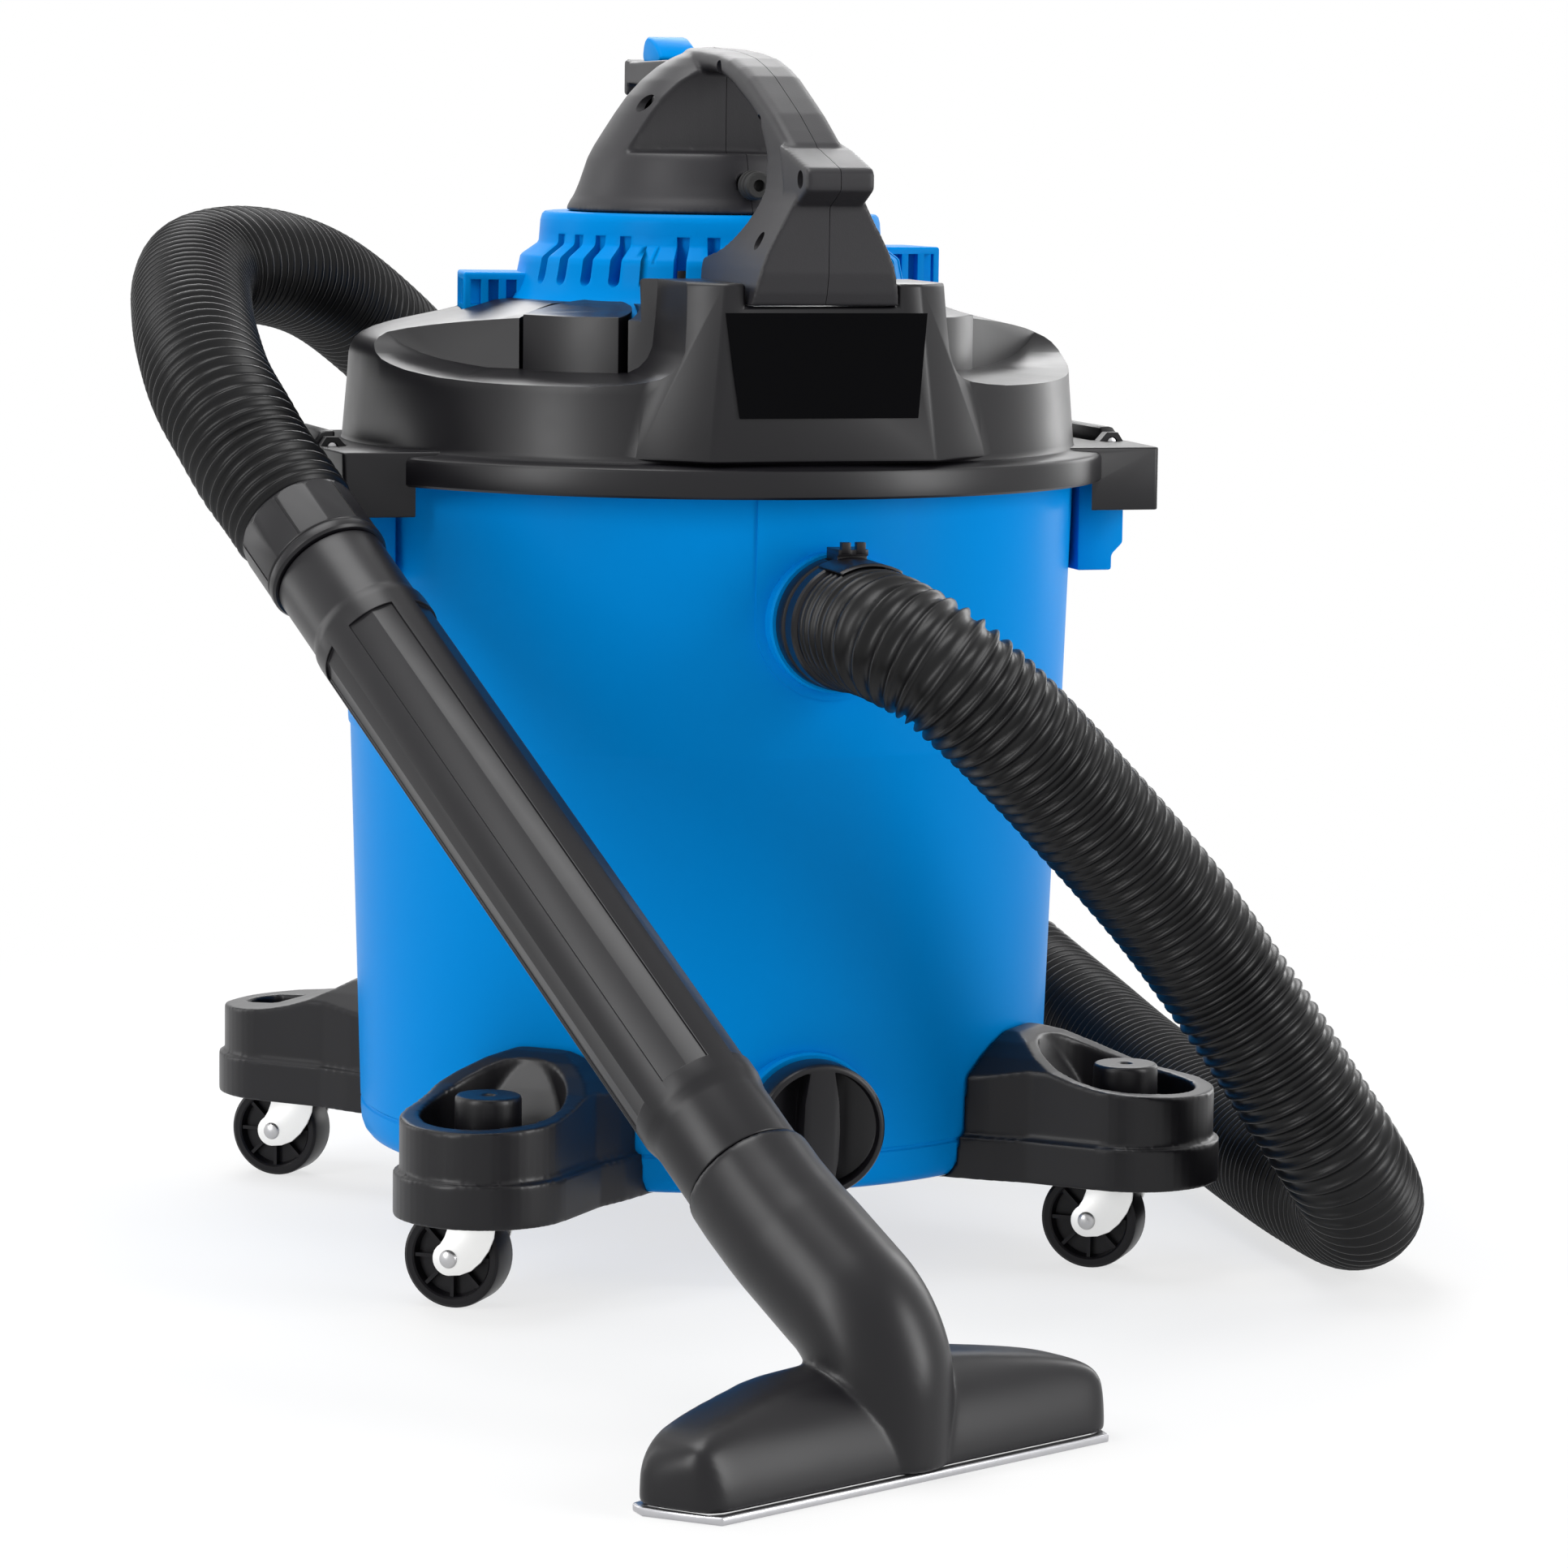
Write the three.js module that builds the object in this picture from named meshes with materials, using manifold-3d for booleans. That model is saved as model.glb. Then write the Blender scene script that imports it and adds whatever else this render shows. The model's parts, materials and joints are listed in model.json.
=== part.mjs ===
// Wet and dry shop vacuum: blue tank on four swivel casters, black lid with a
// motor head and carry handle, ribbed hose, straight wand and floor nozzle.
// Millimetres, +Z up, front towards -Y, the tank axis upright.
import * as THREE from 'three';
import { mergeVertices } from 'three/addons/utils/BufferGeometryUtils.js';
import Module from 'manifold-3d';

const wasm = await Module();
wasm.setup();

// ---- driving dimensions -------------------------------------------------

// tank
const TANK_BOTTOM_Z = 47.2;
const TANK_FLAT_R = 165.5;
const TANK_LOW_R = 177;
const TANK_TOP_R = 188;
const TANK_WALL = 3;
const SEAM_Z = 264;
const SEAM_STEP = 0.9;
const LID_UNDER_Z = 392;
const RIM_R = 196.5;
const RIM_TOP_Z = 401;
const INLET_X = 8.5;
const INLET_Z = 332;
const DRAIN_Z = 84.5;
const BRACKET_X = 205;
const DRAIN_BOSS_DEPTH = 6.7;
const PORT_DEPTH = 9;

// lid
const FLANGE_R = 203.8;
const FLANGE_TOP_Z = 405;
const SHELF_Z = 449;
const DECK_Z = 473;
const SCOOP_CHORD = 112;
const POST_R = 28;
const POST_AT_R = 148;
const POST_AZ = 44;
const EAR_X = 217;
const EAR_Y = 92;
const PIN_X = 207;
const PIN_Z = 408.5;

// feet and casters
const FOOT_AZ = { fl: -42, fr: 46, br: 136, bl: -134 };
const SWIVEL_R = 240;
const TRAIL = 15;
const TRAIL_DIR = [-0.8, 0.6];
const WHEEL_R = 25;
const WHEEL_WIDTH = 20;
const STEM_R = 5;
const FOOT_HALF = 41;
const FOOT_STEP = 3;
const FOOT_ROOT = 27;
const FOOT_SCREW_Z = 84;

// motor head
const BASE_Z = 473.3;
const BASE_TOP_Z = 525;
const HANDLE_HALF = 14.5;
const SPLIT = 0.15;
const SWITCH_Y = 75;
const SWITCH_Z = 599.5;

// suction stack
const PAN_R = 70;
const IMPELLER_R = 60;
const MOTOR_R = 44;
const CAGE_R = 50;
const FLOAT_R = 30;
const CAGE_FLOOR_Z = 302;
const FLOAT_Z = CAGE_FLOOR_Z + 0.3 + FLOAT_R;
const FILTER_R = 83;

// hose, wand and nozzle
const HOSE_R = 31;
const HOSE_BORE_R = 27;
const WAND_R = 29.7;
const WAND_COLLAR_R = 28;
const CUFF_R = 30.3;
const WAND_BORE_R = 26;
const SPIGOT_R = 25.1;
const WAND_LOW = [-103.8, -477.2, 94.0];
const WAND_HIGH = [-234.0, -154.0, 356.6];
const HOSE_ROUTE = [
  [8.5, -225.4, 332],
  [8.5, -247, 332],
  [12, -267, 330],
  [29, -284, 319],
  [55, -288, 297],
  [83, -284, 271],
  [105, -280, 249],
  [122, -277, 232],
  [154, -271, 198],
  [181, -267, 165],
  [205, -269, 132],
  [226, -270, 101],
  [248, -267, 71],
  [268, -247, 46],
  [277, -213, 34],
  [278, -157, 34],
  [284, -70, 36],
  [289, 17, 41],
  [289, 116, 51],
  [286, 190, 64],
  [272, 252, 84],
  [235, 289, 121],
  [178, 306, 179],
  [111, 316, 248],
  [43, 319, 314],
  [-18, 310, 373],
  [-71, 288, 419],
  [-111, 258, 452],
  [-153, 214, 478],
  [-190, 168, 490],
  [-219, 138, 493],
  [-241, 113, 490],
  [-253, 80, 483],
  [-262, 35, 470],
  [-268, -11, 455],
  [-269, -50, 437],
  [-264, -77, 420],
  [-257, -98, 402],
  [-251, -112, 391],
  [-244.5, -127.8, 377.9],
];

// ---- colours ------------------------------------------------------------

const BLUE = { color: 0x0a6fc2, roughness: 0.38, metalness: 0 };
const BLACK = { color: 0x26262b, roughness: 0.5, metalness: 0 };
const GLOSS_BLACK = { color: 0x08080a, roughness: 0.15, metalness: 0 };
const HOSE_BLACK = { color: 0x111114, roughness: 0.3, metalness: 0 };
const RUBBER = { color: 0x1c1c1c, roughness: 0.9, metalness: 0 };
const ZINC = { color: 0xb9b6ad, roughness: 0.4, metalness: 1 };
const STEEL = { color: 0x8d9095, roughness: 0.35, metalness: 1 };
const SILVER = { color: 0x8f9294, roughness: 0.45, metalness: 1 };
const WHITE = { color: 0xe4e2da, roughness: 0.6, metalness: 0 };
const PAPER = { color: 0xd9d3bf, roughness: 0.95, metalness: 0 };
const COPPER = { color: 0x6b5f55, roughness: 0.5, metalness: 1 };

// ---- helpers ------------------------------------------------------------

const DEG = Math.PI / 180;
const BIG_SIDES = 32;

function asSolid(geometry) {
  const bare = geometry.clone();
  bare.deleteAttribute('normal');
  bare.deleteAttribute('uv');
  const welded = mergeVertices(bare, 1e-4);
  const position = welded.attributes.position;
  const index = welded.index;
  const a = new THREE.Vector3();
  const b = new THREE.Vector3();
  const c = new THREE.Vector3();
  const corners = [];
  let volume = 0;
  for (let i = 0; i < index.count; i += 3) {
    const ia = index.getX(i);
    const ib = index.getX(i + 1);
    const ic = index.getX(i + 2);
    if (ia !== ib && ib !== ic && ic !== ia) {
      a.fromBufferAttribute(position, ia);
      b.fromBufferAttribute(position, ib);
      c.fromBufferAttribute(position, ic);
      volume += a.dot(b.cross(c));
      corners.push([ia, ib, ic]);
    }
  }
  const faces = corners.map((t) => (volume < 0 ? [t[0], t[2], t[1]] : t)).flat();
  return new wasm.Manifold(new wasm.Mesh({
    numProp: 3,
    vertProperties: new Float32Array(position.array),
    triVerts: new Uint32Array(faces),
  }));
}

function asGeometry(solid) {
  const mesh = solid.getMesh();
  const geometry = new THREE.BufferGeometry();
  geometry.setAttribute('position', new THREE.BufferAttribute(new Float32Array(mesh.vertProperties), 3));
  geometry.setIndex(new THREE.BufferAttribute(new Uint32Array(mesh.triVerts), 1));
  return geometry;
}

const join = (first, ...rest) => rest.reduce((a, b) => a.add(b), first);
const cut = (first, ...rest) => rest.reduce((a, b) => a.subtract(b), first);
const common = (first, ...rest) => rest.reduce((a, b) => a.intersect(b), first);

function moved(solid, matrix) {
  return asSolid(asGeometry(solid).applyMatrix4(matrix));
}

function turnedShape(profile, sides) {
  const points = profile.map((p) => new THREE.Vector2(p[0], p[1]));
  return new THREE.LatheGeometry(points, sides).rotateX(Math.PI / 2);
}

// revolved about +Z from [radius, height] points
const turned = (profile, sides = 32) => asSolid(turnedShape(profile, sides));

// revolved about an axis along -Y through (x, z), heights counted forwards
function turnedFront(profile, x, z, sides = 20) {
  return asSolid(turnedShape(profile, sides).rotateX(Math.PI / 2).translate(x, 0, z));
}

function ring(inner, outer, z0, z1, sides = 32) {
  return turned([[inner, z0], [outer, z0], [outer, z1], [inner, z1], [inner, z0]], sides);
}

function extruded(points, depth, holes = []) {
  const shape = new THREE.Shape(points.map((p) => new THREE.Vector2(p[0], p[1])));
  for (const hole of holes) {
    shape.holes.push(new THREE.Path(hole.map((p) => new THREE.Vector2(p[0], p[1]))));
  }
  return new THREE.ExtrudeGeometry(shape, { depth, bevelEnabled: false, steps: 1 });
}

// prism over an XY outline
function plate(points, z0, z1, holes = []) {
  return asSolid(extruded(points, z1 - z0, holes).translate(0, 0, z0));
}

// prism over a YZ outline
function slabX(points, x0, x1) {
  const basis = new THREE.Matrix4().makeBasis(
    new THREE.Vector3(0, 1, 0),
    new THREE.Vector3(0, 0, 1),
    new THREE.Vector3(1, 0, 0),
  );
  return asSolid(extruded(points, x1 - x0).applyMatrix4(basis).translate(x0, 0, 0));
}

// prism over an XZ outline
function slabY(points, y0, y1) {
  const basis = new THREE.Matrix4().makeBasis(
    new THREE.Vector3(1, 0, 0),
    new THREE.Vector3(0, 0, 1),
    new THREE.Vector3(0, -1, 0),
  );
  return asSolid(extruded(points, y1 - y0).applyMatrix4(basis).translate(0, y1, 0));
}

function block(x0, x1, y0, y1, z0, z1) {
  const shape = new THREE.BoxGeometry(x1 - x0, y1 - y0, z1 - z0);
  return asSolid(shape.translate((x0 + x1) / 2, (y0 + y1) / 2, (z0 + z1) / 2));
}

function rodZ(radius, x, y, z0, z1, sides = 20) {
  const shape = new THREE.CylinderGeometry(radius, radius, z1 - z0, sides);
  return asSolid(shape.rotateX(Math.PI / 2).translate(x, y, (z0 + z1) / 2));
}

function rodY(radius, x, z, y0, y1, sides = 20) {
  const shape = new THREE.CylinderGeometry(radius, radius, y1 - y0, sides);
  return asSolid(shape.translate(x, (y0 + y1) / 2, z));
}

function rodX(radius, y, z, x0, x1, sides = 16) {
  const shape = new THREE.CylinderGeometry(radius, radius, x1 - x0, sides);
  return asSolid(shape.rotateZ(Math.PI / 2).translate((x0 + x1) / 2, y, z));
}

function arc(cx, cy, radius, from, to, steps) {
  const points = [];
  for (let i = 0; i <= steps; i += 1) {
    const angle = (from + ((to - from) * i) / steps) * DEG;
    points.push([cx + radius * Math.cos(angle), cy + radius * Math.sin(angle)]);
  }
  return points;
}

// turn about +Z that carries +X onto the given azimuth (0 is the front, + towards +X)
const toAzimuth = (azimuth) => new THREE.Matrix4().makeRotationZ((azimuth - 90) * DEG);

function atAzimuth(azimuth, radius) {
  return [radius * Math.sin(azimuth * DEG), -radius * Math.cos(azimuth * DEG)];
}

function mirrored(solid) {
  return moved(solid, new THREE.Matrix4().makeScale(-1, 1, 1));
}

const group = new THREE.Group();
group.name = 'shop_vacuum';

function addNode(name, solid, finish) {
  const geometry = asGeometry(solid).toNonIndexed();
  geometry.computeVertexNormals();
  const material = new THREE.MeshStandardMaterial(finish);
  material.name = name;
  const mesh = new THREE.Mesh(geometry, material);
  mesh.name = name;
  group.add(mesh);
}

// ---- tank ---------------------------------------------------------------

const WALL_FOOT_Z = 67;

// outer radius of the tank's tapered wall at a height
function wallRadius(z) {
  const share = (z - WALL_FOOT_Z) / (LID_UNDER_Z - WALL_FOOT_Z);
  return TANK_LOW_R + 0.2 + (TANK_TOP_R - TANK_LOW_R - 0.2) * share;
}

const DRAIN_FACE = wallRadius(DRAIN_Z) + DRAIN_BOSS_DEPTH;
const PORT_FACE = wallRadius(INLET_Z) + PORT_DEPTH;
const SCREW_SEAT = wallRadius(FOOT_SCREW_Z) - TANK_WALL;

function tankOuter(grow = 0) {
  return turned([
    [0, TANK_BOTTOM_Z - grow],
    [TANK_FLAT_R, TANK_BOTTOM_Z - grow],
    [TANK_LOW_R - 5 + grow, 49.4],
    [TANK_LOW_R - 1 + grow, 55],
    [TANK_LOW_R + grow, 63],
    [TANK_LOW_R + 0.2 + grow, WALL_FOOT_Z],
    [wallRadius(SEAM_Z - 2) - SEAM_STEP / 2 + grow, SEAM_Z - 2],
    [wallRadius(SEAM_Z + 2) + SEAM_STEP / 2 + grow, SEAM_Z + 2],
    [TANK_TOP_R + grow, LID_UNDER_Z],
    [TANK_TOP_R + grow, 394],
    [RIM_R + grow, 396],
    [RIM_R + grow, RIM_TOP_Z],
    [0, RIM_TOP_Z],
  ], BIG_SIDES);
}

function tankInside() {
  return turned([
    [0, TANK_BOTTOM_Z + TANK_WALL],
    [TANK_FLAT_R - 1.5, TANK_BOTTOM_Z + TANK_WALL],
    [TANK_LOW_R - 3.5 - TANK_WALL, 54],
    [TANK_LOW_R - 0.8 - TANK_WALL, 60],
    [TANK_LOW_R + 0.2 - TANK_WALL, WALL_FOOT_Z],
    [wallRadius(SEAM_Z - 2) - SEAM_STEP / 2 - TANK_WALL, SEAM_Z - 2],
    [wallRadius(SEAM_Z + 2) + SEAM_STEP / 2 - TANK_WALL, SEAM_Z + 2],
    [TANK_TOP_R - TANK_WALL, LID_UNDER_Z],
    [TANK_TOP_R - TANK_WALL, RIM_TOP_Z + 2],
    [0, RIM_TOP_Z + 2],
  ], BIG_SIDES);
}

function latchBracket() {
  const profile = [[170, 344], [199, 344], [199, 352], [BRACKET_X, 358], [BRACKET_X, 392], [170, 392]];
  return cut(
    slabY(profile, -65, 65),
    block(191.5, 196, 5, 60, 340, 388),
    block(191.5, 196, -60, -5, 340, 388),
  );
}

function makeTank() {
  const padShape = [[INLET_X - 39, 393], ...arc(INLET_X, INLET_Z, 39, 180, 360, 12), [INLET_X + 39, 393]];
  const pad = common(slabY(padShape, -210, -150), tankOuter(2.5), block(-80, 80, -210, 0, 200, 391));
  const inletRing = rodY(34.5, INLET_X, INLET_Z, -PORT_FACE, -150, 28);
  const drainBoss = rodY(35, 0, DRAIN_Z, -DRAIN_FACE, -150, 28);
  const bracket = latchBracket();
  const solid = join(tankOuter(), pad, inletRing, drainBoss, bracket, mirrored(bracket));
  const holes = Object.values(FOOT_AZ).map((azimuth) => {
    const hole = rodX(2.8, 0, FOOT_SCREW_Z, SCREW_SEAT - 15, SCREW_SEAT + 25, 8);
    return moved(hole, toAzimuth(azimuth));
  });
  return cut(
    solid,
    tankInside(),
    rodY(29, INLET_X, INLET_Z, -PORT_FACE - 5, -100, 28),
    rodY(21.2, 0, DRAIN_Z, -DRAIN_FACE - 5, -100, 24),
    ...holes,
  );
}

function makeDrainGasket() {
  const back = DRAIN_FACE + 0.4;
  return turnedFront([[24, back], [31, back], [31, back + 2.1], [24, back + 2.1], [24, back]], 0, DRAIN_Z);
}

function makeDrainCap() {
  const body = turnedFront([
    [0, DRAIN_FACE - 18.5],
    [19, DRAIN_FACE - 18.5],
    [20.5, DRAIN_FACE - 16.5],
    [20.5, DRAIN_FACE + 2.8],
    [32, DRAIN_FACE + 2.8],
    [33, DRAIN_FACE + 3.8],
    [33, DRAIN_FACE + 20],
    [31.5, DRAIN_FACE + 21.5],
    [0, DRAIN_FACE + 21.5],
  ], 0, DRAIN_Z);
  const scoop = (side) => {
    const outline = side > 0 ? arc(0, DRAIN_Z, 29.5, -76, 76, 14) : arc(0, DRAIN_Z, 29.5, 104, 256, 14);
    return slabY(outline, -DRAIN_FACE - 25, -DRAIN_FACE - 9.5);
  };
  return cut(body, scoop(1), scoop(-1));
}

function makeInletCollar() {
  const body = turnedFront([
    [25.2, PORT_FACE - 23],
    [28.6, PORT_FACE - 23],
    [28.6, PORT_FACE + 0.4],
    [32, PORT_FACE + 0.4],
    [32.5, PORT_FACE + 2],
    [32.5, PORT_FACE + 11],
    [25.2, PORT_FACE + 11],
    [25.2, PORT_FACE - 23],
  ], INLET_X, INLET_Z);
  const notch = block(INLET_X - 9, INLET_X + 9, -PORT_FACE - 9.5, -PORT_FACE - 1.5, INLET_Z + 27, INLET_Z + 40);
  return cut(body, notch);
}

function makeTankCuff() {
  return turnedFront([
    [22, PORT_FACE - 19],
    [24.8, PORT_FACE - 19],
    [24.8, PORT_FACE + 11.5],
    [31, PORT_FACE + 11.5],
    [32, PORT_FACE + 13],
    [32, PORT_FACE + 24],
    [29.5, PORT_FACE + 25.5],
    [29.5, PORT_FACE + 30],
    [22, PORT_FACE + 30],
    [22, PORT_FACE - 19],
  ], INLET_X, INLET_Z);
}

function makeLockTab() {
  const x0 = INLET_X - 7.5;
  const x1 = INLET_X + 7.5;
  return join(
    block(x0, x1, -PORT_FACE - 8.8, -PORT_FACE - 2.2, INLET_Z + 29.5, INLET_Z + 38.5),
    block(x0, x1, -PORT_FACE - 19, -PORT_FACE - 2.2, INLET_Z + 35.5, INLET_Z + 38.5),
    block(x0 + 2, x1 - 2, -PORT_FACE - 23, -PORT_FACE - 18, INLET_Z + 35.5, INLET_Z + 41),
  );
}

// ---- feet and casters ---------------------------------------------------

function footOutline(grow) {
  const half = FOOT_HALF + grow;
  const root = TANK_LOW_R - FOOT_ROOT;
  return [
    [root, -half - 8],
    [186, -half - 4],
    [206, -half],
    ...arc(SWIVEL_R + 4, 0, half, -90, 90, 10),
    [206, half],
    [186, half + 4],
    [root, half + 8],
  ];
}

function makeFoot(isFront) {
  const root = TANK_LOW_R - FOOT_ROOT;
  const side = [[root, 47], [300, 47], [300, 93], [272, 95], [240, 97], [210, 106], [192, 117], [root, 119]];
  const body = join(
    common(plate(footOutline(0), 47, 120), slabY(side, -60, 60)),
    plate(footOutline(FOOT_STEP), 47, 70),
  );
  const bowlSide = [[196, 125], [201, 108], [222, 66], [272, 66], [277, 80], [277, 125]];
  const bowlPlan = [[190, -32], ...arc(SWIVEL_R + 4, 0, 33.5, -90, 90, 10), [190, 32]];
  const bowl = common(plate(bowlPlan, 60, 130), slabY(bowlSide, -50, 50));
  const post = rodZ(15, SWIVEL_R, 0, 60, 105, 18);
  const slot = plate([[252, -15], [262, -15], ...arc(262, 0, 11, -60, 60, 4), [262, 15], [252, 15]], 72, 130);
  const shaped = isFront ? join(cut(body, bowl), post) : cut(body, slot);
  const socketTop = isFront ? 99.5 : 92;
  return cut(
    shaped,
    rodZ(31, SWIVEL_R, 0, 40, 58, 20),
    rodZ(STEM_R + 0.5, SWIVEL_R, 0, 50, socketTop, 12),
    rodX(2.8, 0, FOOT_SCREW_Z, SCREW_SEAT - 15, SCREW_SEAT + 26, 8),
  );
}

function makeFork() {
  const half = WHEEL_WIDTH / 2 + 1.5;
  const outline = [
    [-11, 55.5], [15, 55.5], [23, 42], [23, 24], [19, 18.5], [11, 18.5], [8, 25], [-11, 48],
  ];
  const legs = join(slabY(outline, half, half + 2), slabY(outline, -half - 2, -half));
  const bridge = block(-11, 15, -half - 2, half + 2, 52, 55.5);
  const race = rodZ(12, 0, 0, 55, 57.5, 16);
  const stem = rodZ(STEM_R, 0, 0, 57, 91, 12);
  return cut(join(legs, bridge, race, stem), rodY(3.3, TRAIL, WHEEL_R, -30, 30, 10));
}

function makeAxle() {
  const end = WHEEL_WIDTH / 2 + 3.8;
  return join(
    rodY(2.9, TRAIL, WHEEL_R, -end, end, 10),
    rodY(4.6, TRAIL, WHEEL_R, end - 0.2, end + 1.5, 10),
    rodY(4.6, TRAIL, WHEEL_R, -end - 1.5, -end + 0.2, 10),
  );
}

function makeWheel() {
  const half = WHEEL_WIDTH / 2;
  const profile = [
    [3.5, -half - 0.8],
    [7, -half - 0.8],
    [7, -half + 3],
    [18.5, -half + 3],
    [19.5, -half],
    [WHEEL_R - 1.5, -half],
    [WHEEL_R, -half + 2.5],
    [WHEEL_R, half - 2.5],
    [WHEEL_R - 1.5, half],
    [19.5, half],
    [18.5, half - 3],
    [7, half - 3],
    [7, half + 0.8],
    [3.5, half + 0.8],
    [3.5, -half - 0.8],
  ];
  return asSolid(turnedShape(profile, 16).rotateX(Math.PI / 2).translate(TRAIL, 0, WHEEL_R));
}

function makeFootScrew() {
  return join(
    rodX(2.4, 0, FOOT_SCREW_Z, SCREW_SEAT - 1.8, SCREW_SEAT + 23, 8),
    rodX(5.5, 0, FOOT_SCREW_Z, SCREW_SEAT - 4.6, SCREW_SEAT - 1.4, 12),
  );
}

// ---- lid ----------------------------------------------------------------

function makeEar() {
  const outline = [
    [150, -EAR_Y], [EAR_X - 4, -EAR_Y], [EAR_X, -40], [EAR_X, 40], [EAR_X - 4, EAR_Y], [150, EAR_Y],
  ];
  return plate(outline, 377, FLANGE_TOP_Z + 4);
}

function makeEarInside() {
  const outline = [
    [150, -EAR_Y + 3], [EAR_X - 7, -EAR_Y + 3], [EAR_X - 3, -40], [EAR_X - 3, 40], [EAR_X - 7, EAR_Y - 3],
    [150, EAR_Y - 3],
  ];
  return join(plate(outline, 370, FLANGE_TOP_Z + 1), block(200, 230, -34, 34, 360, 402));
}

function frontBlock() {
  const outline = [
    [-84, -119], [-88, -166], [-56, -193], [58, -193], [94, -163], [90, -119],
  ];
  const solid = extruded(outline, 75).translate(0, 0, 420);
  const position = solid.attributes.position;
  for (let i = 0; i < position.count; i += 1) {
    if (position.getZ(i) > 450) {
      position.setX(i, position.getX(i) * 0.86);
      position.setY(i, position.getY(i) * 0.975);
    }
  }
  return asSolid(solid);
}

function scoopPost(sign) {
  const [x, y] = atAzimuth(sign * POST_AZ, POST_AT_R);
  const post = common(
    rodZ(POST_R, x, y, 440, 490, 24),
    slabX([[-260, 430], [-260, 468], [-127, 471], [-60, 484], [-60, 430]], -200, 200),
  );
  const around = cut(
    common(rodZ(36, x, y, 440, DECK_Z - 1, 24), turned([[0, 430], [165, 430], [165, 490], [0, 490]], 32)),
    rodZ(POST_R + 4, x, y, 430, 490, 24),
    block(x - 30, x + 30, y - 60, y - 8, 449, 490),
  );
  return [post, around];
}

function makeLid() {
  const outer = turned([
    [0, LID_UNDER_Z],
    [FLANGE_R, LID_UNDER_Z],
    [FLANGE_R, FLANGE_TOP_Z],
    [202, FLANGE_TOP_Z + 2],
    [190.5, FLANGE_TOP_Z + 2.5],
    [188.3, FLANGE_TOP_Z + 4],
    [183, SHELF_Z],
    [179, 455],
    [173, 460],
    [163, 464.5],
    [152, 467.8],
    [131, 472],
    [120, DECK_Z],
    [0, DECK_Z],
  ], BIG_SIDES);
  const ear = makeEar();
  const scoops = [1, -1].map((sign) => {
    const inner = -62 * sign;
    const outline = [
      [inner, SHELF_Z], [45 * sign, SHELF_Z], [72 * sign, 453], [104 * sign, DECK_Z - 1], [104 * sign, 500],
      [inner, 500],
    ];
    return moved(slabX(outline, SCOOP_CHORD, 260), toAzimuth(sign * 45));
  });
  const [postRight, wallRight] = scoopPost(1);
  const [postLeft, wallLeft] = scoopPost(-1);
  const shell = join(
    cut(join(outer, ear, mirrored(ear)), ...scoops),
    postRight,
    wallRight,
    postLeft,
    wallLeft,
    frontBlock(),
  );
  const earInside = makeEarInside();
  const legSeat = block(-38.4, 38.4, -210, -112, 484.2, 500);
  const inside = turned([
    [0, 370],
    [199.5, 370],
    [199.5, 404],
    [180, 404],
    [178, 440],
    [176, 443],
    [106, 443],
    [104, 469.5],
    [0, 469.5],
  ], BIG_SIDES);
  const blockInside = common(
    plate([[-70, -112], [-72, -160], [-50, -183], [52, -183], [78, -156], [76, -112]], 440, 480),
    turned([[0, 430], [183, 430], [183, 490], [0, 490]], 32),
  );
  const keyways = [1, -1].map((sign) => {
    const [x, y] = atAzimuth(sign * POST_AZ, POST_AT_R);
    return rodZ(POST_R - 3, x, y, 430, 465, 16);
  });
  const pinHole = rodY(2.8, PIN_X, PIN_Z, -45, 45, 12);
  const hollow = cut(
    shell,
    inside,
    earInside,
    mirrored(earInside),
    ...keyways,
    legSeat,
    rodZ(PAN_R + 2, 0, 0, 460, 480, 32),
    cut(blockInside, block(-90, 90, -200, -100, 480.5, 500)),
  );
  const skirt = ring(180, 183, 394, 405, BIG_SIDES);
  const lug = (y0, y1) => cut(
    slabY([[200, 402], [213, 402], [213, 409], [210, 413.5], [204, 413.5], [200, 409]], y0, y1),
    pinHole,
  );
  const lugs = join(lug(-41, -34), lug(34, 41));
  const slot = join(block(203, 230, -34, 34, 360, 430), block(197.4, 230, -34, 34, 398, 430));
  const opened = cut(hollow, slot, mirrored(slot), pinHole, mirrored(pinHole));
  return join(opened, skirt, lugs, mirrored(lugs));
}

function makeLabelPlate() {
  const outline = [[-42, 430.5], [48, 430.5], [53, 481], [-49, 481]];
  const front = [[-193.7, 425], [-193.1, 425], [-189.15, 486], [-189.75, 486]];
  return common(slabY(outline, -200, -180), slabX(front, -80, 80));
}

function makeLatch() {
  const lever = slabY([
    [214.5, 374], [221, 374], [222, 380], [222, 399], [212, 413], [209, 416], [203.6, 416], [203.6, 404.5],
    [214.5, 404.5],
  ], -32, 32);
  const catchLip = slabY([[BRACKET_X + 0.5, 374], [216, 374], [216, 379], [BRACKET_X + 0.5, 379]], -26, 26);
  const grip = block(220, 223.5, -24, 24, 376, 380);
  return cut(join(lever, catchLip, grip), rodY(2.8, PIN_X, PIN_Z, -45, 45, 12));
}

function makeLatchPin() {
  return rodY(2.3, PIN_X, PIN_Z, -40.5, 40.5, 12);
}

function makeLidSeal() {
  return ring(186.5, 195, 401.3, 403.7, BIG_SIDES);
}

// ---- motor head ---------------------------------------------------------

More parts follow.
